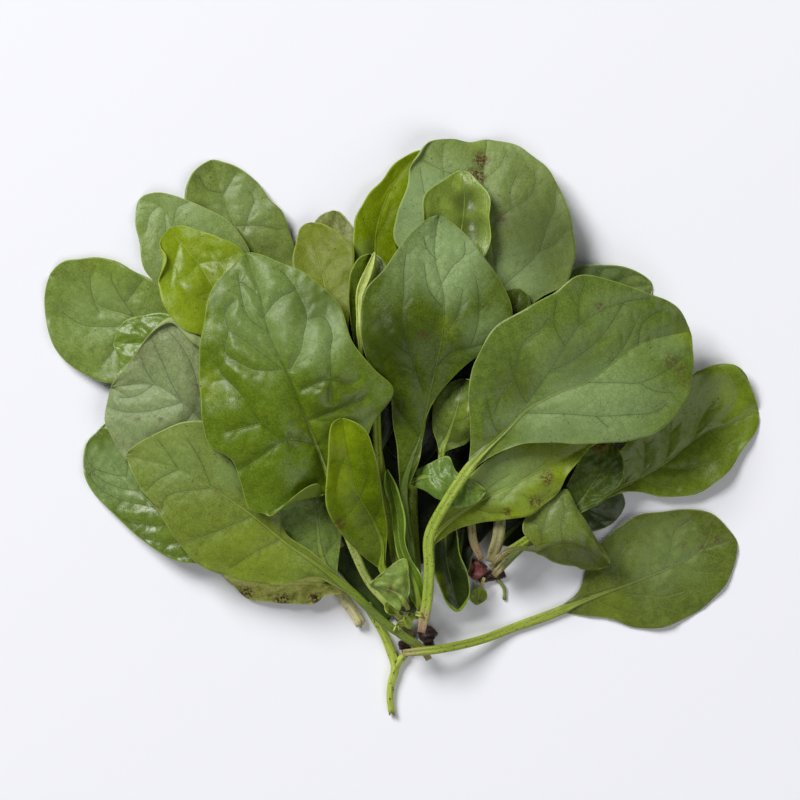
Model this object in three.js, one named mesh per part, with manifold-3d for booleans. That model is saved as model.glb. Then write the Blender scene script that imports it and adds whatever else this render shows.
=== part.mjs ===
// A bunch of fresh spinach lying on its side: leaves with their stalks, two crowns, a forked root stub and
// cut stems, heaped as they fell. Millimetres, +Z up. X runs to the right of the heap, Y away from its foot.
//
// Each leaf is one closed solid. It is a flat ring of points carried along the stalk and the midrib: narrow
// and thick on the stalk, wide and thin on the blade. The leaves are laid one after another, and each is
// lifted just clear of the heap that is already under it.
import * as THREE from 'three';
import { mergeVertices } from 'three/addons/utils/BufferGeometryUtils.js';
import Module from 'manifold-3d';

// ---- Driving dimensions ----
const STALK_WIDTH = 4.4;
const STALK_HALF_HEIGHT = 1.8;
const STALK_EDGE = 0.8;
const BLADE_EDGE = 0.4;
const RIB_HALF_HEIGHT = 0.7;
const RIB_REACH = 0.4; // how far along the blade the stalk's thickness fades into the midrib
const CUP_REACH = 0.25; // how far along the blade its sides take to turn up or down

const STALK_STEP = 9; // between the rings along a stalk
const BLADE_STEP = 11; // between the rings along a blade
const FEWEST_STALK_RINGS = 2;
const FEWEST_BLADE_RINGS = 5;
const ACROSS = [1, 0.5, 0, -0.5, -1]; // a ring's points, from the left margin to the right one
const MIDLINE = 2; // the place in a ring of the point on the centre line
const LAST_RING = 0.97; // where the last ring meets the margins, as a share of their length
const CURVE_STEPS = 24; // points on a smooth curve between two given ones

const HEAP_GAP = 0.8; // least air between a leaf and what it lies on
const CELL = 1; // of the map that holds the heap's height
const VISITS_PER_CELL = 2; // how closely a triangle is swept over that map
const MAP_HALF_SIZE = 210;
const SMOOTHING_ROUNDS = 8;
const SAG = 0.3; // per round, how far an unsupported stretch falls below its neighbours

// ---- Crowns, root stub, cut stem and rootlet ----
// A crown's profile, from the leaves' end to the root's end: [radius, place along its axis].
const CROWN_PROFILE = [[0, 4.5], [2.4, 4.2], [3.6, 2.2], [3.8, 0], [3.2, -2.2], [2, -4], [0, -4.6]];
const CROWN_SIDES = 12;
const CROWNS = {
  main_crown: { at: [12.5, -103.5], turn: -0.4, size: 1 },
  right_crown: { at: [37.5, -71.5], turn: -0.5, size: 1.1 },
};
const STEM_SIDES = 8;
const STEM_STEP = 8;
const FEWEST_STEM_STEPS = 2;
// Each stem is a round rod along a centre line, [x, y, z].
const STUB_RADIUS = 2.1;
const STUB_TRUNK = [[-5, -143.5, 2.1], [-6, -136, 2.1], [-5.5, -129, 2.1], [-3.5, -120, 2.4],
  [-5.5, -112, 2.4], [-9, -103.5, 2.3], [-13.5, -96, 2.3],
  [-17.5, -88.5, 2.3]];
const STUB_ARM_RADIUS = 1.9;
const STUB_ARM = [[-3.9, -121.5, 2.4], [-1.5, -117, 2.8], [1.5, -113.5, 3]];
const CUT_STEM_RADIUS = 2.7;
const CUT_STEM = [[-34, -76, 2.7], [-30, -84, 2.7], [-25, -91, 2.7], [-20.5, -98.5, 2.7]];
const ROOTLET_RADIUS = 0.6;
const ROOTLET = [[47.5, -76, 2], [51, -80.5, 1.2], [51.3, -86.5, 0.6]];

// ---- Finishes: colour, roughness ----
const FINISHES = {
  green: [0x4f7d2a, 0.45],
  blue_green: [0x6a8c56, 0.5],
  bright: [0x86a814, 0.4],
  grey_green: [0x7d9468, 0.6],
  olive: [0x93a456, 0.5],
  dark: [0x35591f, 0.35],
  brown: [0x7c6a3c, 0.7],
  stem: [0x9cb45c, 0.4],
  crown: [0x6b3b3c, 0.7],
};

// ---- Leaves ----
// stalk: centre line from its lower end to the blade, [x, y, z].
// rib: midrib from there to the tip, [x, y, z].
// left, right: points on the blade's margins, from base to tip, [x, y].
// cup: rise of the left and right margins, as a share of the half width.
// slim: the size of the stalk's section, as a share of a grown stalk's, where it is less than 1.
// A height is the one the leaf would take alone. Below the table it means that the leaf lies on it.
const LEAVES = {
  under_leaf_crown: {
    stalk: [[7, -84, 2], [6, -77, 2.2], [5, -70, 2.5]],
    rib: [[5, -50, 4], [4, -26, 5], [3, 0, 5]],
    left: [[-8, -62], [-14, -42], [-15, -18], [-8, -3]],
    right: [[17, -64], [22, -46], [21, -20], [12, -3]],
    cup: [-0.05, -0.05], finish: 'dark',
  },
  under_leaf_stems: {
    stalk: [[29, -84, 2], [29, -80, 2], [29, -76, 2.2]],
    rib: [[29, -64, 3], [32, -42, 4], [35, -4, 4]],
    left: [[21, -70], [17, -52], [19, -30], [25, -9]],
    right: [[33.5, -72], [36, -61], [46, -50], [50, -32], [45, -11]],
    cup: [-0.05, -0.05], finish: 'dark',
  },
  under_leaf_left: {
    stalk: [[-30, -60, 4], [-37, -47, 6], [-44, -34, 8]],
    rib: [[-62, -2, 14], [-76, 32, 15], [-84, 62, 5]],
    left: [[-66, -22], [-88, 8], [-100, 36], [-97, 56]],
    right: [[-38, -18], [-42, 14], [-58, 46], [-72, 62]],
    cup: [-0.2, -0.2], finish: 'green',
  },
  under_leaf_low_left: {
    stalk: [[-38, -64, 2], [-48, -57, 3], [-58, -50, 4]],
    rib: [[-84, -34, 8], [-110, -16, 8], [-132, 2, -2]],
    left: [[-78, -54], [-104, -44], [-126, -20]],
    right: [[-66, -30], [-88, -8], [-112, 8]],
    cup: [-0.2, -0.2], finish: 'dark',
  },
  under_leaf_foot: {
    stalk: [[-32, -75, 2], [-37, -74, 2], [-42, -72, 3]],
    rib: [[-62, -64, 7], [-86, -56, 7], [-112, -46, -2]],
    left: [[-60, -72], [-86, -68], [-104, -58]],
    right: [[-56, -54], [-82, -40], [-104, -36]],
    cup: [-0.2, -0.2], finish: 'green',
  },
  under_leaf_centre: {
    stalk: [[8, -78, 3], [6, -50, 4], [6, -22, 6]],
    rib: [[10, 10, 15], [16, 44, 17], [24, 84, 5]],
    left: [[-10, -6], [-12, 22], [-6, 52], [8, 76]],
    right: [[22, -4], [34, 24], [42, 54], [36, 78]],
    cup: [-0.2, -0.2], finish: 'green',
  },
  under_leaf_back: {
    stalk: [[-1, -78, 3], [-6, -46, 4], [-12, -12, 7]],
    rib: [[-20, 20, 14], [-30, 50, 14], [-38, 86, -2]],
    left: [[-30, 2], [-44, 30], [-52, 58], [-48, 78]],
    right: [[-2, 6], [-6, 34], [-18, 60], [-28, 78]],
    cup: [-0.2, -0.2], finish: 'dark',
  },
  under_leaf_right: {
    stalk: [[30, -46, 3], [38, -34, 5], [46, -24, 7]],
    rib: [[66, -4, 14], [94, 12, 15], [128, 26, -1]],
    left: [[48, -2], [64, 22], [92, 38], [116, 40]],
    right: [[64, -22], [90, -14], [120, 4]],
    cup: [-0.2, -0.2], finish: 'green',
  },
  under_leaf_upper_right: {
    stalk: [[36, -26, 5], [36, -10, 7], [38, 6, 9]],
    rib: [[46, 36, 14], [56, 66, 14], [66, 106, -1]],
    left: [[28, 20], [28, 50], [40, 84], [54, 102]],
    right: [[58, 14], [74, 40], [82, 72], [78, 98]],
    cup: [-0.2, -0.2], finish: 'green',
  },
  under_leaf_low_right: {
    stalk: [[44, -66, 3], [46, -62, 3], [48, -58, 3]],
    rib: [[60, -47, 4], [80, -34, 3], [96, -22, -1]],
    left: [[46, -45], [61, -27], [84, -16]],
    right: [[60, -60.5], [80, -50], [98, -32]],
    cup: [-0.2, -0.2], finish: 'dark',
  },
  leaf_back_brown: {
    stalk: [[-24, 32, 5], [-28, 46, 5], [-30, 58, 5]],
    rib: [[-33, 74, 5], [-35, 92, 3], [-33, 108, -2]],
    left: [[-43, 78], [-46, 98], [-41, 106]],
    right: [[-22, 80], [-23, 96], [-29, 105]],
    cup: [0.1, 0.1], slim: 0.7, finish: 'brown',
  },
  leaf_back_left: {
    stalk: [[-34, 6, 5], [-50, 40, 6], [-66, 68, 6]],
    rib: [[-73, 80, 6], [-83, 100, 5], [-90, 117, 2], [-95, 133.5, -2]],
    left: [[-92, 84], [-104, 102], [-108.5, 114], [-106.5, 123], [-103, 129]],
    right: [[-52, 82], [-57, 100], [-60, 108], [-66, 114], [-72, 122], [-85, 131]],
    cup: [0.04, -0.06], finish: 'green',
  },
  leaf_far_left: {
    stalk: [[-60, -18, 5], [-84, 8, 5], [-108, 34, 4]],
    rib: [[-122, 47, 4], [-136, 55, 3], [-151, 60, 1], [-164, 71, -1], [-176, 76, -2]],
    left: [[-124, 30], [-143, 22], [-160, 27], [-173, 39], [-178.5, 60]],
    right: [[-114, 58], [-122, 71], [-136, 79], [-145, 83.5], [-157, 84.5], [-170, 82]],
    cup: [0.05, 0.05], finish: 'green',
  },
  leaf_low_left: {
    stalk: [[-58, -66, 4], [-73, -66, 4], [-88, -63, 4]],
    rib: [[-102, -58, 4], [-120, -43, 3], [-138, -25, 1], [-153, -3, 0]],
    left: [[-104, -68], [-118, -64.5], [-142, -45.5], [-155, -31], [-159, -22], [-158, -9]],
    right: [[-94, -46], [-112, -22], [-130, -2], [-144, 4]],
    cup: [0.12, 0.1], finish: 'dark',
  },
  leaf_foot_muddy: {
    stalk: [[-23, -84, 3], [-26, -82.5, 3], [-29, -81, 3]],
    rib: [[-45, -78, 2], [-65, -78, 1], [-89, -74, 0]],
    left: [[-38, -84], [-43, -88], [-60, -87.5], [-75, -86.5], [-84, -79.5]],
    right: [[-38, -70], [-58, -64], [-80, -66]],
    cup: [0.1, 0.1], finish: 'brown',
  },
  leaf_upper_right: {
    stalk: [[39.5, -66, 5], [35, -54, 6], [37, -14, 7], [56, 30, 6], [70, 50, 5]],
    rib: [[80, 58, 5], [100, 67, 2], [125, 71, -2]],
    left: [[78, 70], [87, 79.5], [102, 81], [117, 78]],
    right: [[90, 50], [108, 52], [123, 63]],
    cup: [0.05, 0.05], finish: 'green',
  },
  leaf_top_bright: {
    stalk: [[-2, -74, 4], [-6, -50, 5], [-11, -24, 6], [-13, 10, 7], [-14, 44, 7]],
    rib: [[-13, 74, 7], [-13, 96, 6], [-7, 116, 4], [0, 128, 1], [9.5, 138, -1]],
    left: [[-24, 80], [-24, 99], [-20, 112], [-10, 123], [-2, 133]],
    right: [[-1, 76], [-2, 92], [2, 106], [8, 127]],
    cup: [0.1, -0.1], finish: 'bright',
  },
  leaf_under_right: {
    stalk: [[44, -70, 4], [56, -61, 4], [70, -50, 4]],
    rib: [[84, -39, 3], [96, -42, 1], [106.5, -47, -1]],
    left: [[92, -28], [105, -28], [111.5, -38]],
    right: [[82, -48], [92, -52], [100, -51]],
    cup: [0.1, 0.1], finish: 'dark',
  },
  leaf_right: {
    stalk: [[45.5, -74, 5], [58, -61, 5], [74, -49, 5], [92, -39, 5]],
    rib: [[105, -32, 5], [130, -19, 4], [145, -7, 3], [153, -2, 2], [165, 2, 1], [178, 8, 0]],
    left: [[102, -22], [112, -8], [126, 6], [137, 14], [144, 25], [151, 28.5], [165, 30], [173, 22]],
    right: [[113, -32], [130, -35], [146, -33.5], [158, -27], [169, -13], [178, 0]],
    cup: [0.14, 0.06], finish: 'green',
  },
  leaf_crumpled: {
    stalk: [[46, -66, 6], [62, -56, 6], [76, -46, 6]],
    rib: [[87, -39, 7], [95, -28, 8], [103, -15, 7], [102, -6, 6]],
    left: [[82, -30], [87, -18], [95, -7]],
    right: [[97, -38], [108, -28], [110, -14]],
    cup: [0.25, 0.2], finish: 'dark',
  },
  leaf_small_left: {
    stalk: [[-52, -6, 6], [-74, 12, 6], [-96, 30, 6]],
    rib: [[-108, 36, 6], [-126, 41, 5], [-144, 42, 2]],
    left: [[-112, 22], [-128, 17], [-142, 22], [-141, 33]],
    right: [[-110, 52], [-118, 57], [-130, 56], [-139, 53]],
    cup: [-0.1, -0.15], finish: 'green',
  },
  leaf_upper_left: {
    stalk: [[-44, -4, 6], [-62, 26, 7], [-82, 52, 7]],
    rib: [[-93, 68, 8], [-104, 86, 7], [-114, 101, 5], [-121, 110, 3], [-131, 114, 0]],
    left: [[-108, 62], [-120, 69], [-128, 78], [-131, 92], [-133.5, 104]],
    right: [[-76, 78], [-76, 88], [-83, 99.5], [-91, 106], [-106, 113], [-122, 117.5]],
    cup: [-0.05, -0.1], finish: 'blue_green',
  },
  leaf_left_grey: {
    stalk: [[-42, -52, 7], [-58, -32, 8], [-76, -16, 9]],
    rib: [[-88, -6, 9], [-100, 5, 9], [-110, 13.5, 8], [-123, 21, 6], [-145, 20, 2]],
    left: [[-96, -24], [-118, -28], [-136, -18], [-143, -8], [-147.5, 2], [-147, 12]],
    right: [[-82, 22], [-92, 38], [-105, 47], [-114, 53], [-119, 51], [-132, 37], [-140, 27]],
    cup: [-0.1, -0.08], finish: 'grey_green',
  },
  leaf_olive: {
    stalk: [[-20, 8, 8], [-24, 24, 9], [-29, 39, 9]],
    rib: [[-33, 50, 9], [-38, 69, 9], [-42, 86, 7], [-46, 102, 3]],
    left: [[-46, 60], [-54, 78], [-53.5, 90.5], [-51, 99]],
    right: [[-26, 60], [-25, 75], [-24, 89], [-29.5, 95], [-38, 100.5]],
    cup: [0.1, 0.06], finish: 'olive',
  },
  leaf_bright_left: {
    stalk: [[-38, -4, 8], [-54, 20, 9], [-70, 40, 10]],
    rib: [[-80, 52, 11], [-94, 70, 12], [-101, 81, 11], [-110, 91.5, 9], [-116, 99, 6]],
    left: [[-92, 44], [-107, 48], [-117, 58], [-120.5, 70], [-118, 85], [-119, 94]],
    right: [[-70, 62], [-74, 78], [-82, 90], [-91, 94.5], [-100, 97.5], [-109, 100.5]],
    cup: [0.08, -0.04], finish: 'bright',
  },
  leaf_top_round: {
    stalk: [[43.5, -67, 6], [48, -54, 9], [47, -16, 11], [46, 30, 11]],
    rib: [[46, 58, 17], [46, 84, 19], [42.5, 104, 18], [40.5, 123, 13], [42.5, 143.5, 3]],
    left: [[24, 66], [4, 82], [-4, 96], [1, 116], [7, 132], [16, 142], [24, 144], [34, 142]],
    right: [[66, 62], [82, 72], [86.5, 90], [83.5, 105], [78.5, 119.5], [69.5, 132], [56, 141]],
    cup: [-0.08, -0.1], finish: 'grey_green',
  },
  leaf_ribbed: {
    stalk: [[-28, -82, 5], [-31, -80, 6], [-34, -77, 7]],
    rib: [[-40, -64, 9], [-43, -42, 11], [-48, -20, 12], [-55, 0, 10]],
    left: [[-52, -64], [-65, -46], [-72, -25], [-70, -8]],
    right: [[-31, -60], [-28, -42], [-30, -20], [-40, -3]],
    cup: [-0.1, -0.1], finish: 'grey_green',
  },
  strap_leaf: {
    stalk: [[9.5, -95, 5], [9.5, -92, 5], [9, -89, 6]],
    rib: [[7, -80, 8], [3.5, -70, 9], [-1, -58, 10], [-2.5, -42, 10], [-7.5, -21, 9]],
    left: [[4, -84], [1.5, -75], [-1.5, -66], [-4, -57], [-5.5, -42], [-9, -28]],
    right: [[12, -85], [10, -74], [5, -66], [2, -57], [1, -42], [-4, -26]],
    cup: [0.3, 0.3], finish: 'bright',
  },
  leaf_v_folded: {
    stalk: [[36, -16, 9], [30, -28, 9], [24, -40, 9]],
    rib: [[22, -50, 8], [22, -64, 7], [25, -79, 5], [28.5, -92, 3]],
    left: [[28, -56], [31, -70], [33, -82]],
    right: [[16, -58], [17, -73], [23, -86.5]],
    cup: [0.7, 0.7], slim: 0.8, finish: 'dark',
  },
  leaf_front_left: {
    stalk: [[4, -100, 4], [-1, -94.5, 4], [-8.5, -86.5, 5], [-16.5, -77, 7], [-26, -56, 12], [-34, -32, 18]],
    rib: [[-39, -18, 23], [-47, 3, 30], [-56.5, 26, 35], [-66, 46.5, 35], [-70, 64, 32], [-77.5, 86.5, 24]],
    left: [[-52, -36], [-65, -42.5], [-75, -41], [-80, -28], [-84, -17], [-96, -7], [-100, 16], [-99, 46],
      [-94.5, 67.5], [-84, 80]],
    right: [[-22, -20], [-14, 2], [-4, 18], [-14, 29], [-24, 42], [-31, 60], [-42.5, 72], [-59, 81.5]],
    cup: [-0.2, -0.12], finish: 'green',
  },
  leaf_lower_left: {
    stalk: [[13.5, -116, 4], [10.5, -111, 5], [2, -105, 7], [-8.5, -97.5, 8], [-17, -89.5, 8],
      [-27, -80, 9]],
    rib: [[-43.5, -67, 12], [-60, -55.5, 13], [-74, -44, 14], [-94.5, -30, 14], [-111, -21, 12],
      [-137, -14, 6]],
    left: [[-43, -74.5], [-62, -78.5], [-88, -73.5], [-104, -66], [-116.5, -49.5], [-122, -40.5],
      [-129, -32], [-134, -22]],
    right: [[-46, -61], [-58, -52], [-62, -36], [-76, -8], [-92, 3], [-107, 2.5], [-122, -3], [-134, -10]],
    cup: [-0.14, 0.02], finish: 'green',
  },
  leaf_lower_right: {
    stalk: [[0.5, -112.5, 5], [21.5, -110, 7], [40, -106, 4], [56.5, -100, 1], [72, -94.5, 0], [81, -91, -1]],
    rib: [[98, -84, -1], [119, -76.5, -1], [139, -68, -1], [156, -59, -1], [167, -56.5, -1]],
    left: [[88, -82], [94, -67], [102, -55], [115, -45.5], [139, -41], [156, -44]],
    right: [[93, -94.5], [105, -96], [117, -100.5], [131, -99.5], [147, -92.5], [161, -80], [167.5, -64]],
    cup: [0, 0], finish: 'green',
  },
  leaf_pointed_right: {
    stalk: [[45, -68, 9], [50, -62, 9], [58, -60, 9], [66, -60.5, 9]],
    rib: [[74, -58, 9], [84, -57, 9], [93, -61, 7], [103.5, -69, 4]],
    left: [[60, -52], [61, -45], [74, -36], [81, -30], [87, -40], [95, -53]],
    right: [[70, -64], [75, -67], [82, -69], [93, -70]],
    cup: [-0.15, -0.3], finish: 'dark',
  },
  leaf_cupped: {
    stalk: [[23, 40, 14], [24, 52, 15], [25, 64, 16]],
    rib: [[26.5, 78, 17], [29, 94, 18], [31, 111, 17], [30, 127.5, 15]],
    left: [[14, 88], [12, 103], [12.5, 116], [20, 122]],
    right: [[38, 80], [42.5, 92], [42.5, 104], [40.5, 117.5]],
    cup: [0.35, 0.35], slim: 0.8, finish: 'bright',
  },
  leaf_small_centre: {
    stalk: [[41, 6, 12], [44, 18, 13], [47, 30, 14]],
    rib: [[50, 40, 14], [55, 54, 14], [58.5, 68.5, 12]],
    left: [[42, 50], [46, 62], [52, 68]],
    right: [[60, 46], [64, 56], [62.5, 65]],
    cup: [0.05, 0.05], slim: 0.8, finish: 'green',
  },
  leaf_torn: {
    stalk: [[21.8, -37.8, 9], [20, -27, 10], [20, -12, 11]],
    rib: [[23, -4, 12], [27, 8, 13], [31, 24, 12]],
    left: [[15, 1], [16, 12], [24, 22]],
    right: [[33, -7], [38, 8], [38, 20]],
    cup: [0.05, 0.1], slim: 0.8, finish: 'olive',
  },
  leaf_folded_back: {
    stalk: [[-15, 8, 12], [-18, 20, 12], [-20, 30, 13]],
    rib: [[-20.5, 40, 14], [-18, 56, 15], [-17, 72, 15], [-16, 86, 14]],
    left: [[-24, 50], [-25.5, 66], [-25, 77], [-21, 84]],
    right: [[-14, 50], [-9, 66], [-7, 78], [-11, 85]],
    cup: [0.15, 0.1], slim: 0.8, finish: 'olive',
  },
  leaf_edge_on: {
    stalk: [[-18, 22, 15], [-19.5, 30, 16], [-20.5, 38, 17]],
    rib: [[-21, 50, 18], [-21, 66, 18], [-17.5, 75, 18], [-13.5, 87, 17]],
    left: [[-22.5, 50], [-22.5, 66], [-19, 77]],
    right: [[-19.5, 50], [-19.5, 65], [-15.5, 75]],
    cup: [0.9, 0.9], slim: 0.5, finish: 'bright',
  },
  leaf_centre: {
    stalk: [[5, -85, 6], [5.5, -76, 7], [4.5, -61, 10], [2, -46, 12], [1, -30, 14]],
    rib: [[5, -17, 19], [9.5, -5.5, 22], [13.5, 15.5, 27], [19.5, 43.5, 33], [20.5, 64, 34], [16, 86, 31],
      [18, 105, 24]],
    left: [[-2, -14], [-5, 4], [-7, 22], [-16.5, 32], [-20.5, 46], [-19, 65], [-7.5, 80.5], [5, 97]],
    right: [[9, -14], [13, 8], [22, 21], [33, 32], [46, 41], [54.5, 55], [48, 73.5], [36, 90], [25, 101.5]],
    cup: [-0.1, 0.06], finish: 'green',
  },
  leaf_under_front: {
    stalk: [[12.6, -78, 8], [13.3, -68, 9], [14, -58, 10]],
    rib: [[21, -49, 12], [40, -36, 13], [58, -27, 13], [78, -17, 12], [98, -6, 9]],
    left: [[19, -40], [40, -18], [60, -6], [82, -3]],
    right: [[27, -51], [35, -48], [50, -46], [65, -42.5], [77, -32], [85, -20],
      [93, -11]],
    cup: [0.04, -0.12], finish: 'bright',
  },
  leaf_strap_front: {
    stalk: [[-1, -29, 7], [1, -28, 7.5], [3.2, -27, 8]],
    rib: [[14, -24.5, 12], [24, -29, 15], [33, -33, 15], [41.5, -32, 14]],
    left: [[7, -21.5], [14, -17.5], [23, -14], [27, -22], [36, -27]],
    right: [[8, -30], [12, -31.5], [18, -36], [27, -40], [35, -38.5]],
    cup: [0.1, -0.2], slim: 0.7, finish: 'green',
  },
  leaf_front_right: {
    stalk: [[9.5, -102, 9], [12.5, -86, 9], [13.5, -70, 13], [13.5, -54, 15], [22, -37, 18], [35, -18, 22]],
    rib: [[52, -1, 31], [62, 9, 35], [77, 17, 38], [91, 22, 38], [117, 41, 31], [143, 48, 20]],
    left: [[34, -6], [33, 20], [38, 37], [48, 51], [75, 66], [87.5, 75.5], [102, 73], [120, 67], [137, 59]],
    right: [[45, -14], [60, -8.5], [89, -8], [117, -6], [135, 5], [143, 20], [144.5, 36]],
    cup: [0.03, -0.1], finish: 'green',
  },
  leaf_front_bright: {
    stalk: [[-3, -85, 9], [-6, -77, 12], [-10, -69, 15]],
    rib: [[-9.5, -60, 19], [-14, -47, 25], [-21, -34, 31], [-27, -12, 35], [-29.5, 4.5, 35]],
    left: [[-18, -65], [-31, -52], [-37.5, -38], [-36, -14], [-34.5, 2]],
    right: [[-8, -64], [-7.5, -50], [-10, -33], [-14, -12], [-18, -1]],
    cup: [0.25, 0.25], finish: 'bright',
  },
  leaf_pale_folded: {
    stalk: [[3, -91, 8], [2.5, -89, 9], [1, -87, 10]],
    rib: [[-2, -83, 13], [-9, -79.5, 14], [-16, -78, 13]],
    left: [[-1, -90.5], [-5, -88], [-11, -82.5]],
    right: [[3.5, -82], [3.2, -72], [2.4, -65.5], [0, -65], [-8, -70.5], [-14.5, -76]],
    cup: [0.3, -0.3], slim: 0.7, finish: 'bright',
  },
  seed_leaf: {
    stalk: [[41, -75, 4], [40, -78, 3], [39, -80, 2]],
    rib: [[38.5, -83, 1], [38, -86, 0], [37.5, -89, -1]],
    left: [[42, -82], [42.5, -86]],
    right: [[35, -82], [34, -86]],
    cup: [0.1, 0.1], slim: 0.5, finish: 'stem',
  },
};

// Young leaves of the main crown's heart, short and narrow: where each one starts, the way it leans from
// the X direction, its length and its height.
const HEART_LEAVES = [
  { from: [2, -97], lean: 2.4, length: 14, height: 5 },
  { from: [5, -96], lean: 2, length: 18, height: 5 },
  { from: [8.4, -93], lean: 1.65, length: 12, height: 5 },
];
const HEART_STALK_SHARE = 0.4; // of its length, where the blade starts
const HEART_RIB_SHARE = 0.7; // of its length, where the midrib's middle point is
const HEART_MARGIN_SHARES = [0.6, 0.85]; // of its length, where the blade is at its full width
const HEART_HALF_WIDTH = 3;
const HEART_CUP = 0.5;
const HEART_SLIM = 0.45;

// ---- Order of laying, from the table up. A name with a part lays only that part of the leaf. ----
const LAYING = [
  ['forked_root_stub'], ['cut_stem'], ['main_crown'], ['right_crown'], ['rootlet'],
  ['under_leaf_crown'], ['under_leaf_stems'],
  ['under_leaf_low_left'], ['under_leaf_foot'], ['under_leaf_left'], ['under_leaf_low_right'],
  ['under_leaf_right'], ['under_leaf_centre'], ['under_leaf_back'], ['under_leaf_upper_right'],
  ['seed_leaf'], ['leaf_back_brown'], ['leaf_back_left'], ['leaf_far_left'], ['leaf_low_left'],
  ['leaf_foot_muddy'], ['leaf_upper_right'], ['leaf_top_bright'], ['leaf_under_right'], ['leaf_right'],
  ['leaf_small_left'], ['leaf_left_grey'], ['leaf_upper_left'], ['leaf_olive'], ['leaf_bright_left'],
  ['leaf_top_round'], ['leaf_crumpled'], ['leaf_ribbed'], ['leaf_v_folded'],
  ['leaf_front_left', 'stalk'], ['leaf_lower_left'], ['leaf_lower_right'], ['heart_leaf_1'],
  ['heart_leaf_2'], ['heart_leaf_3'], ['leaf_pointed_right'],
  ['leaf_cupped'], ['leaf_small_centre'], ['leaf_torn'], ['leaf_folded_back'], ['leaf_edge_on'],
  ['leaf_under_front'], ['leaf_strap_front'], ['leaf_centre'], ['strap_leaf'],
  ['leaf_front_left', 'blade'], ['leaf_front_right'], ['leaf_front_bright'], ['leaf_pale_folded'],
];

// ---- Curves ----
const vector = ([x, y, z = 0]) => new THREE.Vector3(x, y, z);

/** A smooth curve through the given points, as many close points. */
function smoothly(points) {
  const curve = new THREE.CatmullRomCurve3(points, false, 'centripetal');
  return curve.getPoints(CURVE_STEPS * (points.length - 1));
}

/** The points at the given shares of a line's length. */
function along(line, shares) {
  const reached = [0];
  for (let i = 1; i < line.length; i++) {
    reached.push(reached[i - 1] + line[i].distanceTo(line[i - 1]));
  }
  return shares.map((share) => {
    const wanted = share * reached[reached.length - 1];
    const after = Math.min(line.length - 1, Math.max(1, reached.findIndex((r) => r >= wanted)));
    const part = (wanted - reached[after - 1]) / (reached[after] - reached[after - 1]);
    return line[after - 1].clone().lerp(line[after], part);
  });
}

const lengthOf = (line) => line.slice(1).reduce((sum, p, i) => sum + p.distanceTo(line[i]), 0);
const shares = (count, end = 1) => Array.from({ length: count + 1 }, (_, i) => (end * i) / count);
const fade = (share) => THREE.MathUtils.smoothstep(share, 0, 1);

// ---- Leaves as rows of cross points ----
/** The unit vector to the left of a line at each of its points, seen from above. */
function leftward(line) {
  return line.map((_, i) => {
    const ahead = line[Math.min(i + 1, line.length - 1)];
    const behind = line[Math.max(i - 1, 0)];
    return new THREE.Vector3(behind.y - ahead.y, ahead.x - behind.x, 0).normalize();
  });
}

/** The blade's left and right margins, which are one smooth outline that turns at the tip. */
function marginsOf(spec, base, half, tip) {
  const start = base.clone().add(half);
  const end = base.clone().sub(half);
  const outline = [start, ...spec.left.map(vector), tip, ...spec.right.map(vector).reverse(), end];
  const line = smoothly(outline.map((p) => p.clone().setZ(0)));
  const turn = CURVE_STEPS * (spec.left.length + 1);
  return [line.slice(0, turn + 1), line.slice(turn).reverse()];
}

/**
 * A leaf's rows. Each is { middle, left, right, thick, cup }: the centre point, the offsets from it to both
 * margins, the share of the stalk's thickness that is left, and the share of the blade's cup that is reached.
 */
function rowsOf(spec) {
  const points = [...spec.stalk, ...spec.rib].map(vector);
  const slim = spec.slim ?? 1;
  const line = smoothly(points);
  const base = CURVE_STEPS * (spec.stalk.length - 1);
  const stalk = line.slice(0, base + 1);
  const rib = line.slice(base);
  const stalkCount = Math.max(FEWEST_STALK_RINGS, Math.round(lengthOf(stalk) / STALK_STEP));
  const bladeCount = Math.max(FEWEST_BLADE_RINGS, Math.round(lengthOf(rib) / BLADE_STEP));

  const stalkMiddles = along(stalk, shares(stalkCount));
  const stalkSides = leftward([...stalkMiddles, rib[1]]);
  const halves = stalkSides.map((side) => side.multiplyScalar((slim * STALK_WIDTH) / 2));
  const stalkRows = stalkMiddles.map((middle, i) => ({
    middle,
    left: halves[i],
    right: halves[i].clone().negate(),
    thick: slim,
    cup: 0,
  }));

  const steps = shares(bladeCount).slice(1);
  const marginSteps = shares(bladeCount, LAST_RING).slice(1);
  const tip = points[points.length - 1];
  const margins = marginsOf(spec, line[base], halves[stalkCount], tip).map((m) => along(m, marginSteps));
  const bladeRows = along(rib, steps).map((middle, i) => ({
    middle,
    left: margins[0][i].clone().sub(middle).setZ(0),
    right: margins[1][i].clone().sub(middle).setZ(0),
    thick: slim * (1 - fade(steps[i] / RIB_REACH)),
    cup: fade(steps[i] / CUP_REACH),
  }));
  return { rows: [...stalkRows, ...bladeRows], firstBladeRow: stalkRows.length };
}

/** A row's points across, each with its upper and lower height. */
function acrossRow(row, cups) {
  const edge = THREE.MathUtils.lerp(BLADE_EDGE, STALK_EDGE, row.thick);
  const centre = THREE.MathUtils.lerp(RIB_HALF_HEIGHT, STALK_HALF_HEIGHT, row.thick);
  return ACROSS.map((v) => {
    const offset = v > 0 ? row.left : row.right;
    const cup = v > 0 ? cups[0] : cups[1];
    const place = row.middle.clone().addScaledVector(offset, Math.abs(v));
    place.z += row.cup * cup * offset.length() * v * v;
    const half = edge + (centre - edge) * (1 - v * v);
    return { x: place.x, y: place.y, top: place.z + half, bottom: place.z - half };
  });
}

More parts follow.
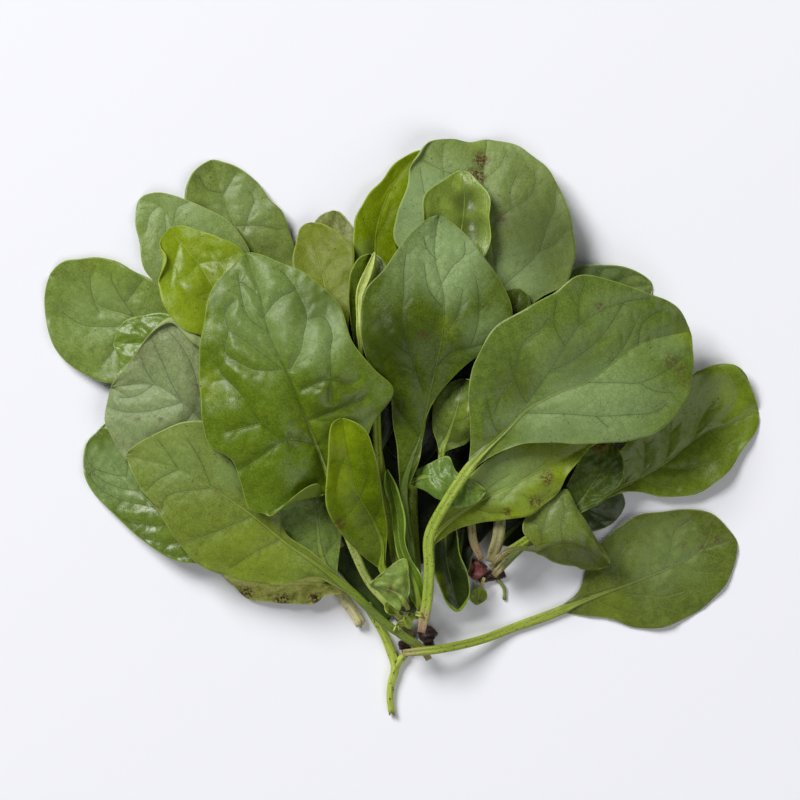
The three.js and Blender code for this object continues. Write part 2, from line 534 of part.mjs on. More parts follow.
// ---- The heap ----
/** A map of how high the heap reaches at each place on the table. */
class Heap {
  constructor() {
    this.size = Math.ceil((2 * MAP_HALF_SIZE) / CELL);
    this.heights = new Float32Array(this.size * this.size);
  }

  cell(value) {
    return Math.floor((value + MAP_HALF_SIZE) / CELL);
  }

  at(x, y) {
    return this.heights[this.cell(y) * this.size + this.cell(x)];
  }

  /** Raises the map to z at a place and in the cells around it. */
  raise(x, y, z) {
    for (let row = this.cell(y) - 1; row <= this.cell(y) + 1; row++) {
      for (let column = this.cell(x) - 1; column <= this.cell(x) + 1; column++) {
        const index = row * this.size + column;
        this.heights[index] = Math.max(this.heights[index], z);
      }
    }
  }
}

/** Calls visit(x, y, z) at close places all over a triangle. */
function sweep(a, b, c, visit) {
  const longest = Math.max(a.distanceTo(b), b.distanceTo(c), c.distanceTo(a));
  const count = Math.max(1, Math.ceil((VISITS_PER_CELL * longest) / CELL));
  for (let i = 0; i <= count; i++) {
    for (let j = 0; j <= count - i; j++) {
      const p = i / count;
      const q = j / count;
      const r = 1 - p - q;
      visit(a.x * p + b.x * q + c.x * r, a.y * p + b.y * q + c.y * r, a.z * p + b.z * q + c.z * r);
    }
  }
}

/** The triangles of one sheet of a leaf between two rows, as lists of [row, column]. */
function trianglesOf(first, last) {
  const found = [];
  for (let r = first; r < last; r++) {
    for (let c = 0; c < ACROSS.length - 1; c++) {
      found.push([[r, c], [r + 1, c], [r + 1, c + 1]], [[r, c], [r + 1, c + 1], [r, c + 1]]);
    }
  }
  return found;
}

const corner = (grid, [r, c], side) => new THREE.Vector3(grid[r][c].x, grid[r][c].y, grid[r][c][side]);

/** How far each point from a leaf's first row to its last one must rise to clear the heap. */
function needOf(grid, heap, first, last) {
  const need = grid.map((row) => row.map(() => 0));
  for (const triangle of trianglesOf(first, last)) {
    let most = 0;
    sweep(...triangle.map((place) => corner(grid, place, 'bottom')), (x, y, z) => {
      const height = heap.at(x, y);
      if (height > 0) most = Math.max(most, height + HEAP_GAP - z);
    });
    for (const [r, c] of triangle) need[r][c] = Math.max(need[r][c], most);
  }
  return need;
}

/** The lift with its steps smoothed: each point sags a little below the mean of those around it. */
function smoothed(need, first, last, firstBladeRow) {
  let lift = need.map((row) => [...row]);
  for (let round = 0; round < SMOOTHING_ROUNDS; round++) {
    lift = lift.map((row, r) => row.map((_, c) => {
      if (r < first || r > last) return need[r][c];
      if (r < firstBladeRow) {
        const behind = lift[Math.max(r - 1, 0)][MIDLINE];
        const ahead = lift[r + 1][MIDLINE];
        return Math.max(...need[r], (behind + ahead) / 2 - SAG);
      }
      const around = [
        lift[r - 1][c],
        lift[Math.min(r + 1, last)][c],
        row[Math.max(c - 1, 0)],
        row[Math.min(c + 1, row.length - 1)],
      ];
      return Math.max(need[r][c], around.reduce((sum, value) => sum + value, 0) / around.length - SAG);
    }));
  }
  return lift;
}

/** Lays the rows from first to last on the heap, which then includes them. No point goes below the table. */
function lay(leaf, heap, first, last) {
  const { grid, firstBladeRow } = leaf;
  const fixed = first > 0 ? first - 1 : first;
  const need = needOf(grid, heap, fixed, last);
  if (fixed < first) need[fixed] = need[fixed].map(() => 0);
  const lift = smoothed(need, first, last, firstBladeRow);
  for (let r = first; r <= last; r++) {
    grid[r].forEach((point, c) => {
      const rise = Math.max(lift[r][c], -point.bottom);
      point.top += rise;
      point.bottom += rise;
    });
  }
  for (const triangle of trianglesOf(fixed, last)) {
    sweep(...triangle.map((place) => corner(grid, place, 'top')), (x, y, z) => heap.raise(x, y, z));
  }
}

// ---- Solids ----
/** A closed solid from a leaf's grid: the upper sheet, the lower one, and the strips round its edge. */
function solidOf(grid) {
  const across = ACROSS.length;
  const ring = 2 * across;
  const positions = [];
  for (const row of grid) {
    for (const p of row) positions.push(p.x, p.y, p.top);
    for (const p of [...row].reverse()) positions.push(p.x, p.y, p.bottom);
  }
  const faces = [];
  const quad = (a, b, c, d) => faces.push(a, b, c, a, c, d);
  for (let r = 0; r < grid.length - 1; r++) {
    for (let k = 0; k < ring; k++) {
      const next = (k + 1) % ring;
      quad(r * ring + k, r * ring + next, (r + 1) * ring + next, (r + 1) * ring + k);
    }
  }
  const end = (grid.length - 1) * ring;
  for (let k = 0; k < across - 1; k++) {
    const under = ring - 1 - k;
    quad(k, under, under - 1, k + 1);
    quad(end + k, end + k + 1, end + under - 1, end + under);
  }
  const geometry = new THREE.BufferGeometry();
  geometry.setAttribute('position', new THREE.Float32BufferAttribute(positions, 3));
  geometry.setIndex(faces);
  return geometry;
}

/** A closed solid with its equal vertices merged, so that it can be joined to another. */
function merged(geometry) {
  for (const name of Object.keys(geometry.attributes)) {
    if (name !== 'position') geometry.deleteAttribute(name);
  }
  return mergeVertices(geometry);
}

/** A round stem along a smooth line, closed at both ends. */
function stem(points, radius) {
  const path = new THREE.CatmullRomCurve3(points.map(vector), false, 'centripetal');
  const section = new THREE.Shape().absarc(0, 0, radius, 0, 2 * Math.PI);
  const steps = Math.max(FEWEST_STEM_STEPS, Math.round(path.getLength() / STEM_STEP));
  const options = { steps, curveSegments: STEM_SIDES / 2, bevelEnabled: false, extrudePath: path };
  return merged(new THREE.ExtrudeGeometry(section, options));
}

/** A crown: a turned bud that lies on the table, its axis turned from the Y direction. */
function crown({ at, turn, size }) {
  const profile = CROWN_PROFILE.map(([radius, place]) => new THREE.Vector2(radius * size, -place * size));
  const bud = merged(new THREE.LatheGeometry(profile, CROWN_SIDES));
  const widest = Math.max(...profile.map((p) => p.x));
  return bud.rotateZ(turn).translate(at[0], at[1], widest);
}

const manifold = await Module();
manifold.setup();

/** Two closed solids joined in one. */
function joined(one, other) {
  const [a, b] = [one, other].map((geometry) => new manifold.Manifold(new manifold.Mesh({
    numProp: 3,
    vertProperties: new Float32Array(geometry.attributes.position.array),
    triVerts: new Uint32Array(geometry.index.array),
  })));
  const mesh = a.add(b).getMesh();
  const geometry = new THREE.BufferGeometry();
  geometry.setAttribute('position', new THREE.Float32BufferAttribute(mesh.vertProperties, 3));
  geometry.setIndex([...mesh.triVerts]);
  return geometry;
}

/** A young leaf's measures, in the form that LEAVES has. */
function heartLeaf({ from, lean, length, height }) {
  const ahead = [Math.cos(lean), Math.sin(lean)];
  const place = (share, sideways = 0) => [
    from[0] + ahead[0] * length * share - ahead[1] * sideways,
    from[1] + ahead[1] * length * share + ahead[0] * sideways,
    height,
  ];
  return {
    stalk: [place(0), place(HEART_STALK_SHARE)],
    rib: [place(HEART_RIB_SHARE), place(1)],
    left: HEART_MARGIN_SHARES.map((share) => place(share, HEART_HALF_WIDTH)),
    right: HEART_MARGIN_SHARES.map((share) => place(share, -HEART_HALF_WIDTH)),
    cup: [HEART_CUP, HEART_CUP],
    slim: HEART_SLIM,
    finish: 'bright',
  };
}

// ---- The bunch ----
const solids = {
  forked_root_stub: [joined(stem(STUB_TRUNK, STUB_RADIUS), stem(STUB_ARM, STUB_ARM_RADIUS)), 'stem'],
  cut_stem: [stem(CUT_STEM, CUT_STEM_RADIUS), 'stem'],
  rootlet: [stem(ROOTLET, ROOTLET_RADIUS), 'stem'],
};
for (const [name, spec] of Object.entries(CROWNS)) solids[name] = [crown(spec), 'crown'];

const specs = { ...LEAVES };
HEART_LEAVES.forEach((spec, i) => {
  specs[`heart_leaf_${i + 1}`] = heartLeaf(spec);
});

/** Adds a finished solid to the heap's map. */
function heapUp(geometry, heap) {
  const soup = geometry.toNonIndexed().attributes.position;
  for (let i = 0; i < soup.count; i += 3) {
    const corners = [0, 1, 2].map((k) => new THREE.Vector3().fromBufferAttribute(soup, i + k));
    sweep(...corners, (x, y, z) => heap.raise(x, y, z));
  }
}

const heap = new Heap();
const leaves = {};
for (const [name, part] of LAYING) {
  if (solids[name]) {
    heapUp(solids[name][0], heap);
    continue;
  }
  if (!leaves[name]) {
    const { rows, firstBladeRow } = rowsOf(specs[name]);
    leaves[name] = { grid: rows.map((row) => acrossRow(row, specs[name].cup)), firstBladeRow };
  }
  const leaf = leaves[name];
  const first = part === 'blade' ? leaf.firstBladeRow : 0;
  const last = part === 'stalk' ? leaf.firstBladeRow - 1 : leaf.grid.length - 1;
  lay(leaf, heap, first, last);
}
for (const [name, leaf] of Object.entries(leaves)) solids[name] = [solidOf(leaf.grid), specs[name].finish];

const bunch = new THREE.Group();
for (const [name, [geometry, finish]] of Object.entries(solids)) {
  const [color, roughness] = FINISHES[finish];
  geometry.computeVertexNormals();
  const material = new THREE.MeshStandardMaterial({ color, roughness, metalness: 0 });
  const mesh = new THREE.Mesh(geometry, material);
  mesh.name = name;
  bunch.add(mesh);
}

// The origin is at the middle of the bunch's box, on the table.
const box = new THREE.Box3().setFromObject(bunch);
const middle = box.getCenter(new THREE.Vector3());
bunch.position.set(-middle.x, -middle.y, -box.min.z);

export default bunch;
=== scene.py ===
"""The spinach bunch's looks: every leaf, stalk, crown and stem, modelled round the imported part.

A leaf is one thin sheet worked out on a grid of rows, from the stalk's foot to the blade's tip, and columns,
from the left margin to the right one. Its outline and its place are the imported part's. Veins press grooves
into it, and the cells between them bulge. Lengths are in millimetres until a mesh is made.
"""
import math
from collections import namedtuple
from dataclasses import dataclass

import bpy
import numpy as np
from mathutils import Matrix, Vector

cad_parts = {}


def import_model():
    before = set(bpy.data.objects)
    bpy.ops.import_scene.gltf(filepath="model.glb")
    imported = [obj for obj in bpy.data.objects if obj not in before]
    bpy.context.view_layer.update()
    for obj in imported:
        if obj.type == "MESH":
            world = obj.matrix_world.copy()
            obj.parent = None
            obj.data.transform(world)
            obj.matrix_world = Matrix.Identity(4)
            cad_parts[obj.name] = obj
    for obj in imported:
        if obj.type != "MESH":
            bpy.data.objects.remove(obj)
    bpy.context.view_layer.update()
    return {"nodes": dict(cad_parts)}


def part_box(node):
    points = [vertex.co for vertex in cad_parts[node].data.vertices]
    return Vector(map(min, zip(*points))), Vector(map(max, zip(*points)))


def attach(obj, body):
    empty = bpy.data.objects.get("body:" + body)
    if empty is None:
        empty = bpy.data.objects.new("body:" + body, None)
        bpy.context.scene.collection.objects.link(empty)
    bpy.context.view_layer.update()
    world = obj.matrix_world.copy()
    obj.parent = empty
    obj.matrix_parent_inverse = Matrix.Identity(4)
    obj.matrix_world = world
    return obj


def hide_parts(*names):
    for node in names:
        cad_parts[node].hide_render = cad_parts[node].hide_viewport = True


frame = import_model()
MM = 0.001

# ---- Driving dimensions ----
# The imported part's own: they place its rows.
STALK_WIDTH = 4.4
STALK_STEP = 9  # between its rings along a stalk
BLADE_STEP = 11  # and along a blade
FEWEST_STALK_RINGS = 2
FEWEST_BLADE_RINGS = 5
LAST_RING = 0.97  # where its last row meets the margins, as a share of their length
ACROSS = np.array([1, 0.5, 0, -0.5, -1])  # its points across a row, from the left margin to the right one
SAME_PLACE = 0.02  # its corners within this of a point are that point's
LEAST_THICKNESS = 0.3
CURVE_STEPS = 24  # a curve's points from one given point to the next

# The sheets' own.
GRAIN = 0.9  # between a blade's rows and columns
HIDDEN_GRAIN = 2.6
STALK_GRAIN = 2
STALK_COARSENING = 2.2  # a stalk's rows are this much further apart than a blade's, up to STALK_GRAIN
FEWEST_STALK_ROWS = 4
FEWEST_BLADE_ROWS = 10
FEWEST_COLUMNS = 5
COLUMN_CROWDING = 0.8
COLUMN_POWER = 1.15  # above 1, the columns are closer near the midrib
TIP_SHARE = 0.992  # where the last row meets the margins
SHEET_HALF = 0.2  # half the thickness of a blade
LEAST_HALF = 0.12  # half the height of a stalk's sides
STALK_HALF_HEIGHT = 1.7
RIB_LEAST_HEIGHT = 0.3
RIB_LEAST_SHARE = 0.12  # of its width at the base, what the midrib keeps at the tip
RIB_FADE = 0.26  # how far along the blade the midrib narrows, as a share of it
RIB_GROOVE = 0.35  # the depth of the groove along a stalk, as a share of its height
GROOVE_SHARE = 0.4  # and its width, as a share of the stalk's
RIB_SINK, RIB_SINK_END = 0.5, 0.35  # how far the midrib sinks into the blade, and where along it
FOOT_SHARE = 0.72  # a stalk's width at its foot, as a share of its own
FOOT_REACH = 9
FOOT_ROUNDING = 1.8
BASE_BLEND = 0.04  # how far on either side of the base a stalk's own width fades, as a share of the blade
BLADE_RISE = 0.12  # how far from the base the relief grows to its full height, in the same way
HEM_RADIUS = 1.2
HEM_TURN = 0.93 * math.pi

# Their relief.
VEIN_STEPS = 6  # of a curve's points, one in so many is kept for a vein
VEIN_GAP = 15  # between the side veins that a leaf grows of itself
VEIN_ROOTS = (0.1, 0.6)  # where in its gap one leaves the midrib
VEIN_REACH = 0.8  # how far along the blade they start, as a share of it
VEIN_LEANS = (0.16, 0.3)  # how much nearer to the tip one ends, in the same way
VEIN_SHAKE = 0.4
VEIN_END = 0.97  # no vein passes this share of the blade's length or of its half width
TWIG_GAP = 6.5  # between the twigs on one side vein
TWIG_STARTS = (0.4, 0.9)
TWIG_TURNS = (0.7, 1.1)  # the angle at which a twig leaves
TWIG_PIECES = (1.2, 2.6)
TWIG_BENDS = (0.5, 1.1)  # what is left of that angle at each next piece
TWIG_STEPS = 8
CELL_REACH, CELL_POWER = 4.6, 1.3  # how far from a vein its cell has risen, and how steeply
CELL_SINK = 0.4  # the share of that rise by which the veins lie below the sheet
CELL_VARIETY = 0.35  # how much cells differ in height
RIB_CELL_PACE = 1.2  # how much faster a cell rises from the midrib than from a vein
TWIG_CELL_REACH, TWIG_CELL_POWER = 1.3, 1.4
TWIG_CELL_SINK = 0.5
TWIG_CELL_HEIGHTS = (0.04, 0.12)  # on every leaf, and what quilting adds
CREASE_HEIGHTS = (0.5, 0.25)
WAVE_HEIGHTS = (0.12, 0.5)
FINE_RUFFLE_HEIGHT = 0.3
TROUGH_REACH, TROUGH_POWER = 11, 1.4
RUFFLE_POWER, FINE_RUFFLE_POWER = 3, 6  # the higher, the closer to the margin it keeps
# The length of each of a leaf's own ripples and creases, and which of the leaf's seeds it takes.
CELL_RIPPLE = (22, 1)
CREASE, FINE_CREASE = (11, 2), (5, 3)
FINE_WAVE, BROAD_WAVE = (5, 4), (34, 5)
RUFFLE, FINE_RUFFLE = (24, 6), (9, 7)
PATCH_NUMBER, TWIG_NUMBER, SCALLOP_NUMBER = 8, 9, 11
PATCH_RIPPLE = 0.9  # the length of the waves in a tint's rim, as a share of its radius
PATCH_UNEVENNESS = 0.25
SCALLOP = 0.7  # how far a margin waves in and out
SCALLOP_LENGTH = 16
MARGIN_POWER = 6  # the higher, the closer to the margin its waves keep

HEAP_HALF = 215
HEAP_GAP = 0.25
COVER_CELLS = 5  # how many rows and columns a lift takes to fade

TUBE_SIDES = 28
TUBE_STEP = 0.8
TUBE_END = (0.05, 0.6, 0.93)  # the sizes of the rings that close a tube
TUBE_END_SINKS = (1, 0.8, 0)  # how far each of them sinks into a torn end
TEAR_REACH = 1.2
FLUTES = 5
FLUTE_WANDER = 30  # the length over which the flutes wander round
STUB_RADII = [(0, 1.5), (0.25, 1.8), (0.5, 2.3), (1, 2.1)]
STUB_TRUNK = [(-5, -143.5, 2.1), (-6, -136, 2.1), (-5.5, -129, 2.1), (-3.5, -120, 2.4),
              (-5.5, -112, 2.4), (-9, -103.5, 2.3), (-13.5, -96, 2.3), (-17.5, -88.5, 2.3)]
STUB_ARM_RADIUS = 1.9
STUB_ARM = [(-3.9, -121.5, 2.4), (-1.5, -117, 2.8), (1.5, -113.5, 3)]
CUT_STEM_RADIUS = 2.7
CUT_STEM = [(-34, -76, 2.7), (-30, -84, 2.7), (-25, -91, 2.7), (-20.5, -98.5, 2.7)]
ROOTLET_RADII = [(0, 0.9), (0.2, 0.9), (0.8, 0.8), (0.93, 1.15), (1, 0.7)]
ROOTLET = [(47.5, -76, 2), (51, -80.5, 1.2), (51.3, -86.5, 0.6)]
CROWN_PROFILE = [(0, 4.5), (2.4, 4.2), (3.6, 2.2), (3.8, 0), (3.2, -2.2), (2, -4), (0, -4.6)]
CROWN_LUMPS = 0.5
CROWNS = {
    "main_crown": {"at": (12.5, -103.5), "turn": -0.4, "size": 1, "seed": 310, "finish": "soil"},
    "right_crown": {"at": (37.5, -71.5), "turn": -0.5, "size": 1.1, "seed": 318, "finish": "crown"},
}
CRUMB_RADIUS = 1.5
CRUMB_LUMPS = 0.55
CRUMB_LINE = np.array([(-2.4, -0.5, 1.6), (0, 0, 2), (2.4, 0.6, 1.6)])  # round its place on the table
CRUMBS = {  # the node that each lot of soil clings to, its places, and its seed
    "crown_soil": ("right_crown", [(41, -75.5), (45.5, -74.6), (49, -74)], 330),
    "root_soil": ("main_crown", [(0.8, -108.6), (2.6, -111.8), (13.4, -108.6)], 334),
}
TENDRILS = 14
TENDRIL_ROOT = (4.5, -101)
TENDRIL_RADIUS = 0.55
TENDRIL_FAN = (1.45, 2.5)  # the first one's lean and the last one's
TENDRIL_LENGTHS = (6, 10.5)
TENDRIL_SHARES = np.array([0, 0.25, 0.5, 0.75, 0.92, 1])  # of its length, where its points are
TENDRIL_SHAKE = 0.04  # of its lean
TENDRIL_CURL = 0.7
TENDRIL_ARCH = 0.6
HEART_LEAVES = [
    {"from": (2, -97), "lean": 2.4, "length": 14},
    {"from": (5, -96), "lean": 2, "length": 18},
    {"from": (8.4, -93), "lean": 1.65, "length": 12},
]
HEART_HEIGHT = 5
HEART_STALK_SHARE = 0.4
HEART_RIB_SHARE = 0.7
HEART_MARGIN_SHARES = (0.6, 0.85)
HEART_HALF_WIDTH = 3
HEART_SLIM = 0.45

# The seeds of what is drawn at random.
STUB_SEED, STUB_ARM_SEED, CUT_STEM_SEED, ROOTLET_SEED = 301, 302, 303, 304
TENDRIL_SHAPE_SEED, TENDRIL_SEED = 340, 350
SHADE_SEED = 900
FIRST_LEAF_SEED, LEAF_SEED_STEP = 1000, 40

# ---- The leaves' lines ----
# The points of the stalk and of the midrib, with their heights, then those of the left and right margins from
# the base to the tip, and the stalk's width as a share of STALK_WIDTH.
Lines = namedtuple("Lines", "stalk rib left right slim", defaults=[1])
LEAVES = {
    "under_leaf_crown": Lines(
        [(7, -84, 2), (6, -77, 2.2), (5, -70, 2.5)], [(5, -50, 4), (4, -26, 5), (3, 0, 5)],
        [(-8, -62), (-14, -42), (-15, -18), (-8, -3)], [(17, -64), (22, -46), (21, -20), (12, -3)]),
    "under_leaf_stems": Lines(
        [(29, -84, 2), (29, -80, 2), (29, -76, 2.2)], [(29, -64, 3), (32, -42, 4), (35, -4, 4)],
        [(21, -70), (17, -52), (19, -30), (25, -9)],
        [(33.5, -72), (36, -61), (46, -50), (50, -32), (45, -11)]),
    "under_leaf_left": Lines(
        [(-30, -60, 4), (-37, -47, 6), (-44, -34, 8)], [(-62, -2, 14), (-76, 32, 15), (-84, 62, 5)],
        [(-66, -22), (-88, 8), (-100, 36), (-97, 56)], [(-38, -18), (-42, 14), (-58, 46), (-72, 62)]),
    "under_leaf_low_left": Lines(
        [(-38, -64, 2), (-48, -57, 3), (-58, -50, 4)], [(-84, -34, 8), (-110, -16, 8), (-132, 2, -2)],
        [(-78, -54), (-104, -44), (-126, -20)], [(-66, -30), (-88, -8), (-112, 8)]),
    "under_leaf_foot": Lines(
        [(-32, -75, 2), (-37, -74, 2), (-42, -72, 3)], [(-62, -64, 7), (-86, -56, 7), (-112, -46, -2)],
        [(-60, -72), (-86, -68), (-104, -58)], [(-56, -54), (-82, -40), (-104, -36)]),
    "under_leaf_centre": Lines(
        [(8, -78, 3), (6, -50, 4), (6, -22, 6)], [(10, 10, 15), (16, 44, 17), (24, 84, 5)],
        [(-10, -6), (-12, 22), (-6, 52), (8, 76)], [(22, -4), (34, 24), (42, 54), (36, 78)]),
    "under_leaf_back": Lines(
        [(-1, -78, 3), (-6, -46, 4), (-12, -12, 7)], [(-20, 20, 14), (-30, 50, 14), (-38, 86, -2)],
        [(-30, 2), (-44, 30), (-52, 58), (-48, 78)], [(-2, 6), (-6, 34), (-18, 60), (-28, 78)]),
    "under_leaf_right": Lines(
        [(30, -46, 3), (38, -34, 5), (46, -24, 7)], [(66, -4, 14), (94, 12, 15), (128, 26, -1)],
        [(48, -2), (64, 22), (92, 38), (116, 40)], [(64, -22), (90, -14), (120, 4)]),
    "under_leaf_upper_right": Lines(
        [(36, -26, 5), (36, -10, 7), (38, 6, 9)], [(46, 36, 14), (56, 66, 14), (66, 106, -1)],
        [(28, 20), (28, 50), (40, 84), (54, 102)], [(58, 14), (74, 40), (82, 72), (78, 98)]),
    "under_leaf_low_right": Lines(
        [(44, -66, 3), (46, -62, 3), (48, -58, 3)], [(60, -47, 4), (80, -34, 3), (96, -22, -1)],
        [(46, -45), (61, -27), (84, -16)], [(60, -60.5), (80, -50), (98, -32)]),
    "leaf_back_brown": Lines(
        [(-24, 32, 5), (-28, 46, 5), (-30, 58, 5)], [(-33, 74, 5), (-35, 92, 3), (-33, 108, -2)],
        [(-43, 78), (-46, 98), (-41, 106)], [(-22, 80), (-23, 96), (-29, 105)], 0.7),
    "leaf_back_left": Lines(
        [(-34, 6, 5), (-50, 40, 6), (-66, 68, 6)],
        [(-73, 80, 6), (-83, 100, 5), (-90, 117, 2), (-95, 133.5, -2)],
        [(-92, 84), (-104, 102), (-108.5, 114), (-106.5, 123), (-103, 129)],
        [(-52, 82), (-57, 100), (-60, 108), (-66, 114), (-72, 122), (-85, 131)]),
    "leaf_far_left": Lines(
        [(-60, -18, 5), (-84, 8, 5), (-108, 34, 4)],
        [(-122, 47, 4), (-136, 55, 3), (-151, 60, 1), (-164, 71, -1), (-176, 76, -2)],
        [(-124, 30), (-143, 22), (-160, 27), (-173, 39), (-178.5, 60)],
        [(-114, 58), (-122, 71), (-136, 79), (-145, 83.5), (-157, 84.5), (-170, 82)]),
    "leaf_low_left": Lines(
        [(-58, -66, 4), (-73, -66, 4), (-88, -63, 4)],
        [(-102, -58, 4), (-120, -43, 3), (-138, -25, 1), (-153, -3, 0)],
        [(-104, -68), (-118, -64.5), (-142, -45.5), (-155, -31), (-159, -22), (-158, -9)],
        [(-94, -46), (-112, -22), (-130, -2), (-144, 4)]),
    "leaf_foot_muddy": Lines(
        [(-23, -84, 3), (-26, -82.5, 3), (-29, -81, 3)], [(-45, -78, 2), (-65, -78, 1), (-89, -74, 0)],
        [(-38, -84), (-43, -88), (-60, -87.5), (-75, -86.5), (-84, -79.5)],
        [(-38, -70), (-58, -64), (-80, -66)]),
    "leaf_upper_right": Lines(
        [(39.5, -66, 5), (35, -54, 6), (37, -14, 7), (56, 30, 6), (70, 50, 5)],
        [(80, 58, 5), (100, 67, 2), (125, 71, -2)], [(78, 70), (87, 79.5), (102, 81), (117, 78)],
        [(90, 50), (108, 52), (123, 63)]),
    "leaf_top_bright": Lines(
        [(-2, -74, 4), (-6, -50, 5), (-11, -24, 6), (-13, 10, 7), (-14, 44, 7)],
        [(-13, 74, 7), (-13, 96, 6), (-7, 116, 4), (0, 128, 1), (9.5, 138, -1)],
        [(-24, 80), (-24, 99), (-20, 112), (-10, 123), (-2, 133)], [(-1, 76), (-2, 92), (2, 106), (8, 127)]),
    "leaf_under_right": Lines(
        [(44, -70, 4), (56, -61, 4), (70, -50, 4)], [(84, -39, 3), (96, -42, 1), (106.5, -47, -1)],
        [(92, -28), (105, -28), (111.5, -38)], [(82, -48), (92, -52), (100, -51)]),
    "leaf_right": Lines(
        [(45.5, -74, 5), (58, -61, 5), (74, -49, 5), (92, -39, 5)],
        [(105, -32, 5), (130, -19, 4), (145, -7, 3), (153, -2, 2), (165, 2, 1), (178, 8, 0)],
        [(102, -22), (112, -8), (126, 6), (137, 14), (144, 25), (151, 28.5), (165, 30), (173, 22)],
        [(113, -32), (130, -35), (146, -33.5), (158, -27), (169, -13), (178, 0)]),
    "leaf_crumpled": Lines(
        [(46, -66, 6), (62, -56, 6), (76, -46, 6)],
        [(87, -39, 7), (95, -28, 8), (103, -15, 7), (102, -6, 6)], [(82, -30), (87, -18), (95, -7)],
        [(97, -38), (108, -28), (110, -14)]),
    "leaf_small_left": Lines(
        [(-52, -6, 6), (-74, 12, 6), (-96, 30, 6)], [(-108, 36, 6), (-126, 41, 5), (-144, 42, 2)],
        [(-112, 22), (-128, 17), (-142, 22), (-141, 33)], [(-110, 52), (-118, 57), (-130, 56), (-139, 53)]),
    "leaf_upper_left": Lines(
        [(-44, -4, 6), (-62, 26, 7), (-82, 52, 7)],
        [(-93, 68, 8), (-104, 86, 7), (-114, 101, 5), (-121, 110, 3), (-131, 114, 0)],
        [(-108, 62), (-120, 69), (-128, 78), (-131, 92), (-133.5, 104)],
        [(-76, 78), (-76, 88), (-83, 99.5), (-91, 106), (-106, 113), (-122, 117.5)]),
    "leaf_left_grey": Lines(
        [(-42, -52, 7), (-58, -32, 8), (-76, -16, 9)],
        [(-88, -6, 9), (-100, 5, 9), (-110, 13.5, 8), (-123, 21, 6), (-145, 20, 2)],
        [(-96, -24), (-118, -28), (-136, -18), (-143, -8), (-147.5, 2), (-147, 12)],
        [(-82, 22), (-92, 38), (-105, 47), (-114, 53), (-119, 51), (-132, 37), (-140, 27)]),
    "leaf_olive": Lines(
        [(-20, 8, 8), (-24, 24, 9), (-29, 39, 9)], [(-33, 50, 9), (-38, 69, 9), (-42, 86, 7), (-46, 102, 3)],
        [(-46, 60), (-54, 78), (-53.5, 90.5), (-51, 99)],
        [(-26, 60), (-25, 75), (-24, 89), (-29.5, 95), (-38, 100.5)]),
    "leaf_bright_left": Lines(
        [(-38, -4, 8), (-54, 20, 9), (-70, 40, 10)],
        [(-80, 52, 11), (-94, 70, 12), (-101, 81, 11), (-110, 91.5, 9), (-116, 99, 6)],
        [(-92, 44), (-107, 48), (-117, 58), (-120.5, 70), (-118, 85), (-119, 94)],
        [(-70, 62), (-74, 78), (-82, 90), (-91, 94.5), (-100, 97.5), (-109, 100.5)]),
    "leaf_top_round": Lines(
        [(43.5, -67, 6), (48, -54, 9), (47, -16, 11), (46, 30, 11)],
        [(46, 58, 17), (46, 84, 19), (42.5, 104, 18), (40.5, 123, 13), (42.5, 143.5, 3)],
        [(24, 66), (4, 82), (-4, 96), (1, 116), (7, 132), (16, 142), (24, 144), (34, 142)],
        [(66, 62), (82, 72), (86.5, 90), (83.5, 105), (78.5, 119.5), (69.5, 132), (56, 141)]),
    "leaf_ribbed": Lines(
        [(-28, -82, 5), (-31, -80, 6), (-34, -77, 7)],
        [(-40, -64, 9), (-43, -42, 11), (-48, -20, 12), (-55, 0, 10)],
        [(-52, -64), (-65, -46), (-72, -25), (-70, -8)], [(-31, -60), (-28, -42), (-30, -20), (-40, -3)]),
    "strap_leaf": Lines(
        [(9.5, -95, 5), (9.5, -92, 5), (9, -89, 6)],
        [(7, -80, 8), (3.5, -70, 9), (-1, -58, 10), (-2.5, -42, 10), (-7.5, -21, 9)],
        [(4, -84), (1.5, -75), (-1.5, -66), (-4, -57), (-5.5, -42), (-9, -28)],
        [(12, -85), (10, -74), (5, -66), (2, -57), (1, -42), (-4, -26)]),
    "leaf_v_folded": Lines(
        [(36, -16, 9), (30, -28, 9), (24, -40, 9)],
        [(22, -50, 8), (22, -64, 7), (25, -79, 5), (28.5, -92, 3)], [(28, -56), (31, -70), (33, -82)],
        [(16, -58), (17, -73), (23, -86.5)], 0.8),
    "leaf_front_left": Lines(
        [(4, -100, 4), (-1, -94.5, 4), (-8.5, -86.5, 5), (-16.5, -77, 7), (-26, -56, 12), (-34, -32, 18)],
        [(-39, -18, 23), (-47, 3, 30), (-56.5, 26, 35), (-66, 46.5, 35), (-70, 64, 32), (-77.5, 86.5, 24)],
        [(-52, -36), (-65, -42.5), (-75, -41), (-80, -28), (-84, -17), (-96, -7), (-100, 16), (-99, 46),
         (-94.5, 67.5), (-84, 80)],
        [(-22, -20), (-14, 2), (-4, 18), (-14, 29), (-24, 42), (-31, 60), (-42.5, 72), (-59, 81.5)]),
    "leaf_lower_left": Lines(
        [(13.5, -116, 4), (10.5, -111, 5), (2, -105, 7), (-8.5, -97.5, 8), (-17, -89.5, 8), (-27, -80, 9)],
        [(-43.5, -67, 12), (-60, -55.5, 13), (-74, -44, 14), (-94.5, -30, 14), (-111, -21, 12),
         (-137, -14, 6)],
        [(-43, -74.5), (-62, -78.5), (-88, -73.5), (-104, -66), (-116.5, -49.5), (-122, -40.5), (-129, -32),
         (-134, -22)],
        [(-46, -61), (-58, -52), (-62, -36), (-76, -8), (-92, 3), (-107, 2.5), (-122, -3), (-134, -10)]),
    "leaf_lower_right": Lines(
        [(0.5, -112.5, 5), (21.5, -110, 7), (40, -106, 4), (56.5, -100, 1), (72, -94.5, 0), (81, -91, -1)],
